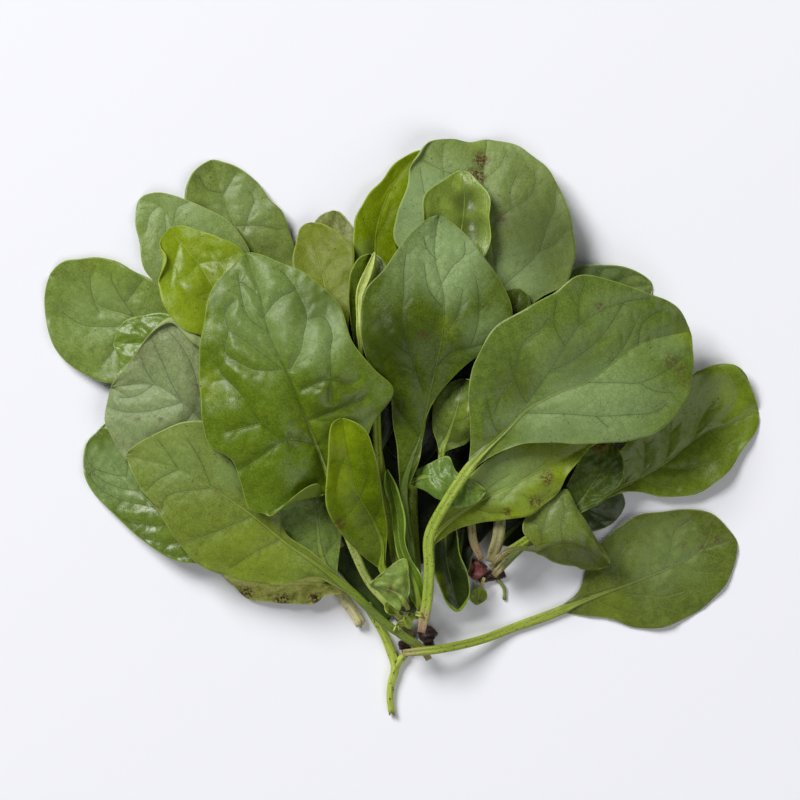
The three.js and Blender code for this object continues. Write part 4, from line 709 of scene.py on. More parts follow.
def between_columns(values, places):
    """Each row of values read at its own fractional column numbers: the Catmull-Rom cubic from b to c of
    the columns a, b, c and d round each, which leaves along c - a and arrives along d - b."""
    last = values.shape[1] - 1
    first = np.clip(np.floor(places).astype(int), 0, last - 1)
    a, b, c, d = (np.take_along_axis(values, np.clip(first + i, 0, last), 1) for i in (-1, 0, 1, 2))
    t = places - first
    return b + 0.5 * t * ((c - a) + t * ((2 * a - 5 * b + 4 * c - d) + t * (3 * (b - c) + d - a)))


def between_rows(values, places):
    """Rows of values read at fractional row numbers, in the same way."""
    return between_columns(values.T, places[None, :]).T


def ripple(x, y, size, seed, count=7):
    """A soft random relief between about -1 and 1: a sum of waves of about the given length that run
    in random directions."""
    draw = np.random.default_rng(seed)
    total = np.zeros(np.shape(x))
    for _ in range(count):
        angle, phase = draw.uniform(0, 2 * math.pi, 2)
        pace = 2 * math.pi / (size * draw.uniform(0.7, 1.5))
        total += np.sin(pace * (math.cos(angle) * x + math.sin(angle) * y) + phase)
    return total * 1.4 / count


def creases(x, y, size, seed):
    """Ridges with sharp tops: 1 where a ripple crosses 0, falling away on both sides."""
    return 1 - 2 * np.minimum(1, np.abs(ripple(x, y, size, seed)) * 1.6)


def whole(count):
    """The nearest whole number, with halves going up."""
    return math.floor(count + 0.5)


# ---- A leaf's outline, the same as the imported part's ----
def heart_leaf(spec):
    """A young leaf's lines from where it starts, how it leans, and its length."""
    ahead = np.array([math.cos(spec["lean"]), math.sin(spec["lean"])])
    side = np.array([-ahead[1], ahead[0]])

    def place(share, sideways=0):
        """The point at a share of its length, and so far to the left."""
        x, y = spec["from"] + ahead * spec["length"] * share + side * sideways
        return (x, y, HEART_HEIGHT)

    margins = [[place(share, half)[:2] for share in HEART_MARGIN_SHARES]
               for half in (HEART_HALF_WIDTH, -HEART_HALF_WIDTH)]
    stalk, rib = [place(0), place(HEART_STALK_SHARE)], [place(HEART_RIB_SHARE), place(1)]
    return Lines(stalk, rib, *margins, HEART_SLIM)


class Outline:
    """A leaf's centre line and margins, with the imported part's rows and the finer ones of its surface."""

    def __init__(self, spec, grain):
        self.slim = spec.slim
        line = smoothly([*spec.stalk, *spec.rib])
        base = CURVE_STEPS * (len(spec.stalk) - 1)
        self.stalk, self.rib = line[: base + 1], line[base:]
        self.stalk_length, self.rib_length = reached(self.stalk)[-1], reached(self.rib)[-1]

        stalk_rings = max(FEWEST_STALK_RINGS, whole(self.stalk_length / STALK_STEP))
        blade_rings = max(FEWEST_BLADE_RINGS, whole(self.rib_length / BLADE_STEP))
        stalk_steps = np.linspace(0, 1, stalk_rings + 1)
        foot = np.array([*self.stalk_at(stalk_steps)[1][-1], 0])
        flat = self.stalk[-1] * (1, 1, 0)
        edge = [flat + foot, *spec.left, self.rib[-1] * (1, 1, 0), *spec.right[::-1], flat - foot]
        margin = smoothly(edge)
        turn = CURVE_STEPS * (len(spec.left) + 1)
        self.margins = margin[: turn + 1], margin[turn:][::-1]
        self.coarse = self.rows(stalk_steps, np.linspace(0, 1, blade_rings + 1)[1:], LAST_RING)

        stalk_grain = min(STALK_GRAIN, STALK_COARSENING * grain)
        stalk_rows = max(FEWEST_STALK_ROWS, whole(self.stalk_length / stalk_grain))
        blade_rows = max(FEWEST_BLADE_ROWS, whole(self.rib_length / grain))
        stalk_steps, steps = np.linspace(0, 1, stalk_rows + 1), np.linspace(0, 1, blade_rows + 1)[1:]
        self.fine = self.rows(stalk_steps, steps, TIP_SHARE)
        self.ring = np.concatenate([stalk_steps * stalk_rings, stalk_rings + steps * blade_rings])
        self.share = np.concatenate([stalk_steps - 1, steps])  # -1 at the foot, 0 at the base, 1 at the tip
        self.run = np.concatenate([stalk_steps * self.stalk_length, self.stalk_length
                                   + steps * self.rib_length])

    def stalk_at(self, shares):
        """The stalk's middles at some shares of its length, and the level offsets to its left side."""
        middles = along(self.stalk, shares)
        return middles, leftward(np.vstack([middles, self.rib[1:2]]))[:-1] * self.slim * STALK_WIDTH / 2

    def rows(self, stalk_steps, steps, last):
        """The middles of the stalk's rows and the blade's, and the level offsets from them to the left and
        right margins, which the last row meets at the share last."""
        middles, halves = self.stalk_at(stalk_steps)
        centre = along(self.rib, steps)
        left, right = (along(margin, steps * last)[:, :2] - centre[:, :2] for margin in self.margins)
        return np.vstack([middles, centre])[:, :2], np.vstack([halves, left]), np.vstack([-halves, right])


def packed_heights(name, outline):
    """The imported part's height at its rows' points: the middle between its top and its underside."""
    centre, left, right = outline.coarse
    offset = np.where(ACROSS[None, :, None] > 0, left[:, None], right[:, None])
    place = centre[:, None] + offset * np.abs(ACROSS)[None, :, None] + SHIFT
    mesh = frame["nodes"][name].data
    corners = np.empty(3 * len(mesh.vertices), np.float32)
    mesh.vertices.foreach_get("co", corners)
    corners = np.unique(np.round(corners.reshape(-1, 3) / MM, 3), axis=0)
    here = np.hypot(corners[:, 0] - place[..., :1], corners[:, 1] - place[..., 1:]) < SAME_PLACE
    top = np.where(here, corners[:, 2], -np.inf).max(-1)
    bottom = np.where(here, corners[:, 2], np.inf).min(-1)
    middle = np.where(top - bottom > LEAST_THICKNESS, (top + bottom) / 2, np.nan)
    rows = np.arange(len(middle))
    for column in middle.T:
        known = np.isfinite(column)
        column[:] = np.interp(rows, rows[known], column[known])
    return middle


# ---- Veins ----
def distance_to(lines, x, y):
    """How far each place is from the nearest of some lines, and the same with a sign that says on which
    side of it."""
    start = np.vstack([line[:-1] for line in lines])
    step = np.vstack([line[1:] for line in lines]) - start
    far_x, far_y = x[..., None] - start[:, 0], y[..., None] - start[:, 1]
    share = np.clip((far_x * step[:, 0] + far_y * step[:, 1]) / (step ** 2).sum(1), 0, 1)
    apart = np.hypot(far_x - share * step[:, 0], far_y - share * step[:, 1])
    nearest = apart.argmin(-1)[..., None]
    side = np.take_along_axis(step[:, 0] * far_y - step[:, 1] * far_x, nearest, -1)[..., 0]
    apart = np.take_along_axis(apart, nearest, -1)[..., 0]
    return apart, np.where(side < 0, -apart, apart)


def twigs_of(lines, seed):
    """Short side branches: they leave each vein on alternate sides, at about 50 degrees, and bend
    forward."""
    draw = np.random.default_rng(seed)
    twigs = []
    for line in lines:
        far = reached(line)
        for k, place in enumerate(np.arange(TWIG_GAP * draw.uniform(*TWIG_STARTS), far[-1], TWIG_GAP)):
            root, ahead = (np.array([np.interp(place + step, far, column) for column in line.T[:2]])
                           for step in (0, 1))
            heading = math.atan2(*(ahead - root)[::-1])
            turn = (1 if k % 2 else -1) * draw.uniform(*TWIG_TURNS)
            points = [root]
            for _ in range(3):
                points.append(points[-1] + draw.uniform(*TWIG_PIECES)
                              * np.array([math.cos(heading + turn), math.sin(heading + turn)]))
                turn *= draw.uniform(*TWIG_BENDS)
            twigs.append(smoothly(points)[::TWIG_STEPS, :2])
    return twigs


def own_veins(outline, seed):
    """A leaf's side veins: each leaves the midrib, leans to the tip, forks half way out and bends up at
    its end. Points are shares of the blade's length and of its half width."""
    draw = np.random.default_rng(seed)
    lines = []
    for side in (1, 2):
        count = max(2, whole(outline.rib_length / VEIN_GAP))
        for k in range(count):
            root = (k + draw.uniform(*VEIN_ROOTS)) / count * VEIN_REACH
            lean = draw.uniform(*VEIN_LEANS)
            main = [(root + lean * out ** 1.2 * 0.9, out * 0.86) for out in (0, 0.25, 0.5, 0.75, 1)]
            main.append((root + lean + 0.08, 0.92))
            fork = [main[2], (main[2][0] + 0.02, 0.62), (main[2][0] + draw.uniform(-0.02, 0.04), 0.84)]
            for points in (main, fork):
                share, out = np.clip(np.array(points).T, 0, VEIN_END)
                row = np.interp(share, outline.share, np.arange(len(outline.share)))
                line = at_rows(outline.fine[0], row) + at_rows(outline.fine[side], row) * out[:, None]
                lines.append(smoothly(line + draw.normal(0, VEIN_SHAKE, line.shape))[::VEIN_STEPS, :2])
    return lines


# ---- The heap ----
def spread(values, reach, gather):
    """Gathers each value with those up to reach rows and columns away, by the rows and then the columns."""
    for axis in (0, 1):
        pad = [(reach, reach) if k == axis else (0, 0) for k in (0, 1)]
        windows = np.lib.stride_tricks.sliding_window_view(np.pad(values, pad, "edge"), 2 * reach + 1, axis)
        values = gather(windows, -1)
    return values


class Heap:
    """A map of how high the heap reaches at each place on the table, in cells of 1 mm."""

    def __init__(self):
        self.top = np.zeros((2 * HEAP_HALF, 2 * HEAP_HALF))

    def cells(self, x, y):
        """The row and column of each place's cell."""
        return tuple(np.clip((value + HEAP_HALF).astype(int), 0, 2 * HEAP_HALF - 1) for value in (y, x))

    def at(self, x, y):
        """The height at each place."""
        return self.top[self.cells(x, y)]

    def add(self, x, y, z):
        """Raises the map to a surface, at its grid's points and half way between them."""
        half = [(a[:-1] + a[1:]) / 2 for a in (x, y, z)]
        side = [(a[:, :-1] + a[:, 1:]) / 2 for a in (x, y, z)]
        for a, b, c in ((x, y, z), half, side):
            np.maximum.at(self.top, self.cells(a, b), c)

    def lift(self, x, y, bottom):
        """How far a surface must rise to clear the heap: the least smooth cover of what each point needs."""
        height = self.at(x, y)
        need = np.maximum(height + np.where(height > 0, HEAP_GAP, 0) - bottom, 0)
        return spread(spread(need, COVER_CELLS, np.max), COVER_CELLS, np.mean)


heap = Heap()


# ---- Meshes ----
def mesh_object(name, points, faces, values=None):
    """A smooth-shaded object from points in millimetres, faces of four corners, and values at its points."""
    mesh = bpy.data.meshes.new(name)
    faces = np.asarray(faces, np.int32)
    mesh.vertices.add(len(points))
    mesh.vertices.foreach_set("co", (np.asarray(points) * MM).astype(np.float32).ravel())
    mesh.loops.add(faces.size)
    mesh.loops.foreach_set("vertex_index", faces.ravel())
    mesh.polygons.add(len(faces))
    mesh.polygons.foreach_set("loop_start", np.arange(0, faces.size, 4, dtype=np.int32))
    mesh.polygons.foreach_set("use_smooth", np.ones(len(faces), bool))
    for key, value in (values or {}).items():
        mesh.attributes.new(key, "FLOAT", "POINT").data.foreach_set("value", value.astype(np.float32).ravel())
    mesh.update(calc_edges=True)
    mesh.validate()
    piece = bpy.data.objects.new(name, mesh)
    bpy.context.scene.collection.objects.link(piece)
    return piece


def shell_faces(rows, columns):
    """The faces of a closed shell: a grid of upper points, then one of lower points, joined round the rim."""
    upper = np.arange(rows * columns).reshape(rows, columns)
    lower = upper + rows * columns

    def quads(*corners):
        """Faces whose corners are in turn the points of the given parts of the grids."""
        return np.stack([corner.ravel() for corner in corners], 1)

    return np.vstack([
        quads(upper[:-1, :-1], upper[:-1, 1:], upper[1:, 1:], upper[1:, :-1]),
        quads(lower[:-1, :-1], lower[1:, :-1], lower[1:, 1:], lower[:-1, 1:]),
        quads(upper[:-1, 0], upper[1:, 0], lower[1:, 0], lower[:-1, 0]),
        quads(upper[1:, -1], upper[:-1, -1], lower[:-1, -1], lower[1:, -1]),
        quads(upper[0, 1:], upper[0, :-1], lower[0, :-1], lower[0, 1:]),
        quads(upper[-1, :-1], upper[-1, 1:], lower[-1, 1:], lower[-1, :-1]),
    ])


def settled(points):
    """Points moved with the whole bunch to its place round the origin, and none below the table."""
    points[:, :2] += SHIFT
    points[:, 2] = np.maximum(points[:, 2], 0)
    return points


def finished(piece, node, finish):
    """Puts a piece in its node's place, with its material."""
    piece.data.materials.append(finish)
    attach(piece, "root")
    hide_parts(node)
    return piece


# ---- Leaves ----
class Leaf:
    """A leaf's sheet on its grid: where each point is, and what the finishes need to know about it."""

    def __init__(self, name, spec, look, seed, grain):
        self.name, self.look, self.seed = name, look, seed
        self.outline = outline = Outline(spec, grain)
        self.base = int(np.searchsorted(outline.share, 0))
        if look.height is None:
            heights = between_rows(packed_heights(name, outline), outline.ring)
        else:
            heights = np.full((len(outline.ring), len(ACROSS)), look.height)
        centre, *offsets = outline.fine
        share = outline.share[:, None]
        blade = fade(share, 0, BLADE_RISE)

        sides = []
        grown = look.stout * (FOOT_SHARE + (1 - FOOT_SHARE) * fade(outline.run, 0, FOOT_REACH))
        grown = 1 + (grown - 1) * (1 - fade(outline.share, -BASE_BLEND, BASE_BLEND))
        for which, (offset, sign) in enumerate(zip(offsets, (1, -1))):
            half = np.linalg.norm(offset, axis=1)[:, None]
            ahead, half = offset / half, half * grown[:, None]
            width, turn = self.hem(which, share)
            count = max(FEWEST_COLUMNS, whole(half.max() / grain * COLUMN_CROWDING))
            steps = (np.arange(1, count + 1) / count)[None, :] ** COLUMN_POWER
            if which == 0:
                steps = steps[:, ::-1]
            sides.append(self.side(steps, half, width, turn, ahead, centre, heights, sign, blade))
        # The midrib's own column is no step away from itself, so either side's half width and way will do.
        middle = self.side(np.zeros((1, 1)), half, 0, 0, ahead, centre, heights, 1, blade)
        parts = sides[0], middle, sides[1]
        for key in ("x", "y", "z", "out", "edge", "far"):
            setattr(self, key, np.hstack([part[key] for part in parts]))
        self.share = share + 0 * self.x
        self.run = outline.run[:, None] + 0 * self.x
        self.shape(blade)
        self.thicken(blade)

    def hem(self, which, share):
        """The width of the folded margin at each row and which way it turns: smooth humps along it."""
        width, turn = 0 * share, 0
        for side, middle, reach, most, way in self.look.hems:
            if side == ("left", "right")[which]:
                width, turn = width + most * hump(share, middle, reach), way
        return width, turn

    def side(self, steps, half, width, turn, ahead, centre, heights, sign, blade):
        """Half a leaf. A point's distance along the sheet from the midrib is its share of the half width
        and the hem together. Past the margin it goes round a small arc and then back over the blade. A wider
        roll starts inside the margin, so that the outline stays."""
        radius = self.look.roll
        start = half - (radius - HEM_RADIUS) * fade(width / radius, 0, 3)
        far = steps * (start + width)
        flat = np.minimum(far, start)
        over = far - flat
        angle = np.minimum(over / radius, HEM_TURN)
        rest = np.maximum(over - radius * HEM_TURN, 0)
        beyond = radius * np.sin(angle) + rest * math.cos(HEM_TURN)
        rise = radius * (1 - np.cos(angle)) + rest * math.sin(HEM_TURN)
        out = sign * flat / half
        wave = ripple(centre[:, :1], centre[:, 1:], SCALLOP_LENGTH, self.seed + SCALLOP_NUMBER + sign)
        beyond = beyond + blade * SCALLOP * wave * np.abs(out) ** MARGIN_POWER
        x = centre[:, :1] + ahead[:, :1] * (flat + beyond)
        y = centre[:, 1:] + ahead[:, 1:] * (flat + beyond)
        z = between_columns(heights, 2 - 2 * out) + turn * rise
        return {"x": x, "y": y, "z": z, "out": out, "edge": start + width - far, "far": sign * far}

    def own_ripple(self, size, number):
        """One of the leaf's own ripples, by its number."""
        return ripple(self.x, self.y, size, self.seed + number)

    def own_creases(self, size, number):
        """The same for its creases."""
        return creases(self.x, self.y, size, self.seed + number)

    def shape(self, blade):
        """Adds the relief: cells that bulge between the veins and twigs, hollows, small creases, waves all
        over, the trough along the midrib, and margins that ruffle."""
        look, x, y = self.look, self.x, self.y
        lines = [smoothly(line)[::VEIN_STEPS, :2] for line in VEINS.get(self.name, [])]
        lines = lines or own_veins(self.outline, self.seed)
        self.gap, self.vein = distance_to(lines, x, y)
        self.twig_gap, self.twig = distance_to(twigs_of(lines, self.seed + TWIG_NUMBER), x, y)
        off_rib, out = np.abs(self.far), np.abs(self.out)
        nearest = np.minimum(self.gap, off_rib * RIB_CELL_PACE)
        cell = risen(nearest, CELL_REACH, CELL_POWER) - CELL_SINK
        relief = look.quilt * cell * (1 + CELL_VARIETY * self.own_ripple(*CELL_RIPPLE))
        twig_cell = risen(np.minimum(self.twig_gap, nearest), TWIG_CELL_REACH, TWIG_CELL_POWER)
        least, added = TWIG_CELL_HEIGHTS
        relief += (least + added * look.quilt) * (twig_cell - TWIG_CELL_SINK)
        for at_x, at_y, reach, depth in look.hollows:
            relief -= depth * np.exp(-(((x - at_x) ** 2 + (y - at_y) ** 2) / reach ** 2))
        high, low = CREASE_HEIGHTS
        relief += look.crumple * (high * self.own_creases(*CREASE) + low * self.own_creases(*FINE_CREASE))
        low, high = WAVE_HEIGHTS
        relief += low * self.own_ripple(*FINE_WAVE) + high * self.own_ripple(*BROAD_WAVE)
        relief += look.valley * risen(off_rib, TROUGH_REACH, TROUGH_POWER)
        relief += look.ruffle * out ** RUFFLE_POWER * self.own_ripple(*RUFFLE)
        relief += FINE_RUFFLE_HEIGHT * look.ruffle * out ** FINE_RUFFLE_POWER * self.own_ripple(*FINE_RUFFLE)
        self.z = self.z + blade * relief

    def thicken(self, blade):
        """Half the thickness above and below the sheet: a blade's own, or the midrib's round section, which
        sinks into the blade from above, has a groove along it, and fades to the tip."""
        slim, along_blade = self.outline.slim, np.clip(self.share, 0, 1)
        left = np.exp(-along_blade / RIB_FADE)
        width = slim * STALK_WIDTH / 2 * self.look.stout * (RIB_LEAST_SHARE + (1 - RIB_LEAST_SHARE) * left)
        height = slim * (RIB_LEAST_HEIGHT + (STALK_HALF_HEIGHT - RIB_LEAST_HEIGHT) * left)
        off_rib = np.abs(self.far)
        rib = height * np.sqrt(np.clip(1 - (off_rib / width) ** 2, 0, 1))
        groove = RIB_GROOVE * height * np.exp(-((off_rib / (GROOVE_SHARE * width)) ** 2))
        sheet = LEAST_HALF + (SHEET_HALF - LEAST_HALF) * blade
        end = np.sqrt(1 - (1 - np.clip(self.run / FOOT_ROUNDING, 0.02, 1)) ** 2)
        sink = RIB_SINK * fade(along_blade, 0, RIB_SINK_END)
        self.above = end * np.maximum(sheet, rib * (1 - sink) - groove)
        self.below = end * np.maximum(sheet, rib)

    def lay(self, first, last):
        """Lifts the rows from first to last clear of the heap and of the table, then adds them to it."""
        rows = slice(first, last)
        bottom = self.z[rows] - self.below[rows]
        lift = heap.lift(self.x[rows], self.y[rows], bottom)
        on_stalk = self.outline.share[rows, None] <= 0
        lift = np.where(on_stalk, lift.max(1, keepdims=True), lift)
        self.z[rows] += np.maximum(lift, -bottom)
        heap.add(self.x[rows], self.y[rows], (self.z + self.above)[rows])

    def points(self):
        """The upper and lower points: the sheet's own, moved half its thickness along its normal."""
        sheet = np.stack([self.x, self.y, self.z], -1)
        normal = np.cross(np.gradient(sheet, axis=1), np.gradient(sheet, axis=0))
        normal /= np.linalg.norm(normal, axis=-1, keepdims=True) + 1e-9
        upper = sheet + normal * self.above[..., None]
        lower = sheet - normal * self.below[..., None]
        return settled(np.vstack([upper.reshape(-1, 3), lower.reshape(-1, 3)]))

    def patches(self, kind):
        """The strength of one kind of patch at each point, soft with an uneven rim: brown ones are the leaf's
        own blemishes, the other kinds painted light and shade.
        """
        total = np.zeros(self.x.shape)
        for x, y, radius, strength in getattr(self.look, kind):
            apart = np.hypot(self.x - x, self.y - y) / radius
            apart = apart * (1 + PATCH_UNEVENNESS * self.own_ripple(radius * PATCH_RIPPLE, PATCH_NUMBER))
            total = np.maximum(total, strength * (1 - fade(apart, 0.2, 1)))
        return total

    def make(self):
        """The finished piece. Its upper and lower points keep the same values, apart from which they are."""
        values = {
            "vein": self.vein, "vein_gap": self.gap, "twig": self.twig, "twig_gap": self.twig_gap,
            "across": self.far, "edge": self.edge, "share": self.share, "run": self.run,
            **{kind: self.patches(kind) for kind in TINTS_AND_PAINTED_LIGHT},
        }
        values = {key: np.stack([value, value]) for key, value in values.items()}
        values["under"] = np.stack([np.zeros(self.x.shape), np.ones(self.x.shape)])
        piece = mesh_object(self.name + "_sheet", self.points(), shell_faces(*self.x.shape), values)
        node = self.look.node or self.name
        return finished(piece, node, leaf_finish(self.name, self.look))


# ---- Stems and crowns ----
def tube(points, radius, seed, flute=0.05, torn=(0, 0), lumps=0):
    """A stem: a round section carried along a smooth line. Its radius, a number or (share, radius) pairs,
    varies with soft flutes along it. A torn end's rim is uneven by the given length, and its face sunk."""
    path = smoothly(points)
    length = reached(path)[-1]
    body = np.linspace(0, 1, max(8, whole(length / TUBE_STEP)))
    shares = np.concatenate([[0, 0, 0], body, [1, 1, 1]])
    shrink = np.concatenate([TUBE_END, np.ones(len(body)), TUBE_END[::-1]])
    line = along(path, shares)
    ahead = np.gradient(along(path, np.linspace(0, 1, len(body))), axis=0)
    ahead = np.vstack([ahead[:1].repeat(3, 0), ahead, ahead[-1:].repeat(3, 0)])
    ahead /= np.linalg.norm(ahead, axis=1, keepdims=True)
    side = np.cross([0, 0, 1], ahead)
    side /= np.linalg.norm(side, axis=1, keepdims=True)
    up = np.cross(ahead, side)

    angle = np.arange(TUBE_SIDES) / TUBE_SIDES * 2 * math.pi
    grown = np.interp(shares, *np.array(radius).T) if np.ndim(radius) else np.full(len(shares), radius)
    run, turn = np.meshgrid(shares * length, angle, indexing="ij")
    reach = 6 / math.pi * grown[:, None]
    relief = 1 + flute * np.sin(FLUTES * turn + ripple(run, 0 * run, FLUTE_WANDER, seed) * 2)
    relief += flute * ripple(run * 0.25, np.sin(turn) * reach, 5, seed + 1)
    relief += lumps * creases(run + 3 * np.cos(turn), 4 * np.sin(turn) + np.cos(turn), 7, seed + 3)
    size = (grown * shrink)[:, None] * relief
    jag = ripple(np.cos(turn) * 4, np.sin(turn) * 4, 3.5, seed + 2)
    near = np.exp(-run / TEAR_REACH), np.exp(-(length - run) / TEAR_REACH)
    pull = torn[0] * near[0] * jag - torn[1] * near[1] * jag
    sunk = np.concatenate([TUBE_END_SINKS, np.zeros(len(body)), TUBE_END_SINKS[::-1]])[:, None]
    pull += sunk * (torn[0] * (shares[:, None] < 0.5) - torn[1] * (shares[:, None] > 0.5))
    ring = side[:, None] * np.cos(turn)[..., None] + up[:, None] * np.sin(turn)[..., None]
    spots = line[:, None] + ring * size[..., None] + ahead[:, None] * pull[..., None]
    values = {"across": turn * grown[:, None], "run": run, "edge": np.minimum(run, length - run)}
    return spots, values


def tube_faces(rows, start):
    """The faces round a tube and over its two ends."""
    ring = np.arange(rows * TUBE_SIDES).reshape(rows, TUBE_SIDES) + start
    after = np.roll(ring, -1, axis=1)
    walls = np.stack([ring[:-1], after[:-1], after[1:], ring[1:]], -1).reshape(-1, 4)
    near = np.arange(TUBE_SIDES // 2 - 1)
    far = TUBE_SIDES - 1 - near
    first, last = (row[np.stack([near, near + 1, far - 1, far], 1)] for row in (ring[0], ring[-1]))
    return np.vstack([walls, first[:, ::-1], last])


def tubes_piece(name, node, material, tubes):
    """One piece from one or more tubes that grew together, which is added to the heap."""
    faces, start = [], 0
    for spots, _ in tubes:
        faces.append(tube_faces(len(spots), start))
        start += spots[..., 0].size
        heap.add(*((a[:-1] + a[1:]) / 2 for a in np.moveaxis(spots, -1, 0)))
    points = settled(np.vstack([spots.reshape(-1, 3) for spots, _ in tubes]))
    values = {key: np.concatenate([value[key].ravel() for _, value in tubes]) for key in tubes[0][1]}
    return finished(mesh_object(name, points, np.vstack(faces), values), node, finish(material))


def root_stub():
    """The forked stub: a trunk torn at its foot, and the arm that leaves it for the crown."""
    trunk = tube(STUB_TRUNK, STUB_RADII, STUB_SEED, 0.06, (1.6, 0.8))
    arm = tube(STUB_ARM, STUB_ARM_RADIUS, STUB_ARM_SEED, 0.06, (0.2, 0.8))
    tubes_piece("root_stub", "forked_root_stub", "stem", [trunk, arm])


def cut_stem():
    """The broad pale stem, torn at its outer end."""
    stem = tube(CUT_STEM, CUT_STEM_RADIUS, CUT_STEM_SEED, 0.1, (0.4, 1.8))
    tubes_piece("cut_stalk", "cut_stem", "pale_stem", [stem])


def rootlet():
    """The thread that hangs from the right crown, with a small knob at its end."""
    tubes_piece("root_thread", "rootlet", "root", [tube(ROOTLET, ROOTLET_RADII, ROOTLET_SEED)])


def crown(name):
    """A crown: its profile carried along its axis, a bud that the scars of old stalks make lumpy."""
    spec = CROWNS[name]
    radii, places = (np.array(CROWN_PROFILE) * (spec["size"], -spec["size"])).T
    ahead = np.array([-math.sin(spec["turn"]), math.cos(spec["turn"]), 0])
    middle = np.array([*spec["at"], max(radii)])
    ends = [middle + ahead * place for place in (-places[0], -places[-1])]
    shares = (places - places[0]) / (places[-1] - places[0])
    body = tube([ends[0], (ends[0] + ends[1]) / 2, ends[1]], list(zip(shares, radii)), spec["seed"], 0.1,
                lumps=CROWN_LUMPS)
    tubes_piece(name + "_body", name, spec["finish"], [body])


def crumbs(name):
    """Soil that clings to a crown: lumpy rods on the table beside it."""
    node, places, seed = CRUMBS[name]
    rods = [tube(CRUMB_LINE + (x, y, 0), CRUMB_RADIUS, seed + i, 0.1, lumps=CRUMB_LUMPS)
            for i, (x, y) in enumerate(places)]
    tubes_piece(name, node, "soil", rods)


def tendrils():
    """The heart's thinnest shoots: they fan out from one point on the main crown, rest on what lies there,
    and curl over at their ends."""
    draw = np.random.default_rng(TENDRIL_SEED)
    share = TENDRIL_SHARES
    shoots = []
    for k in range(TENDRILS):
        lean = np.interp(k, (0, TENDRILS - 1), TENDRIL_FAN) + draw.uniform(-TENDRIL_SHAKE, TENDRIL_SHAKE)
        bend = lean + draw.choice((-1, 1)) * TENDRIL_CURL * share ** 4
        far = draw.uniform(*TENDRIL_LENGTHS) * share
        x, y = TENDRIL_ROOT[0] + far * np.cos(bend), TENDRIL_ROOT[1] + far * np.sin(bend)
        z = np.maximum.accumulate(heap.at(x, y)) + TENDRIL_RADIUS + TENDRIL_ARCH * np.sin(math.pi * share)
        shoots.append(tube(np.stack([x, y, z], 1), TENDRIL_RADIUS, TENDRIL_SHAPE_SEED + k))
    tubes_piece("heart_shoots", "heart_leaf_2", "shoot", shoots)


# ---- Materials ----
def paint(red, green, blue):
    """A colour from its 0 to 255 values as seen, in the linear scale that the shader takes."""
    seen = np.array([red, green, blue]) / 255
    linear = np.where(seen <= 0.04045, seen / 12.92, ((seen + 0.055) / 1.055) ** 2.4)
    return (*[float(part) for part in linear], 1)


class Wire:
    """A value in a shader. An expression on wires adds the Math nodes that work it out."""

    def __init__(self, maker, socket):
        self.maker, self.socket = maker, socket

    def __add__(self, other):
        return self.maker.math("ADD", self, other)

    def __sub__(self, other):
        return self.maker.math("SUBTRACT", self, other)

    def __mul__(self, other):
        return self.maker.math("MULTIPLY", self, other)

    def __truediv__(self, other):
        return self.maker.math("DIVIDE", self, other)

    def __rsub__(self, other):
        return self.maker.math("SUBTRACT", other, self)

    __radd__ = __add__
    __rmul__ = __mul__


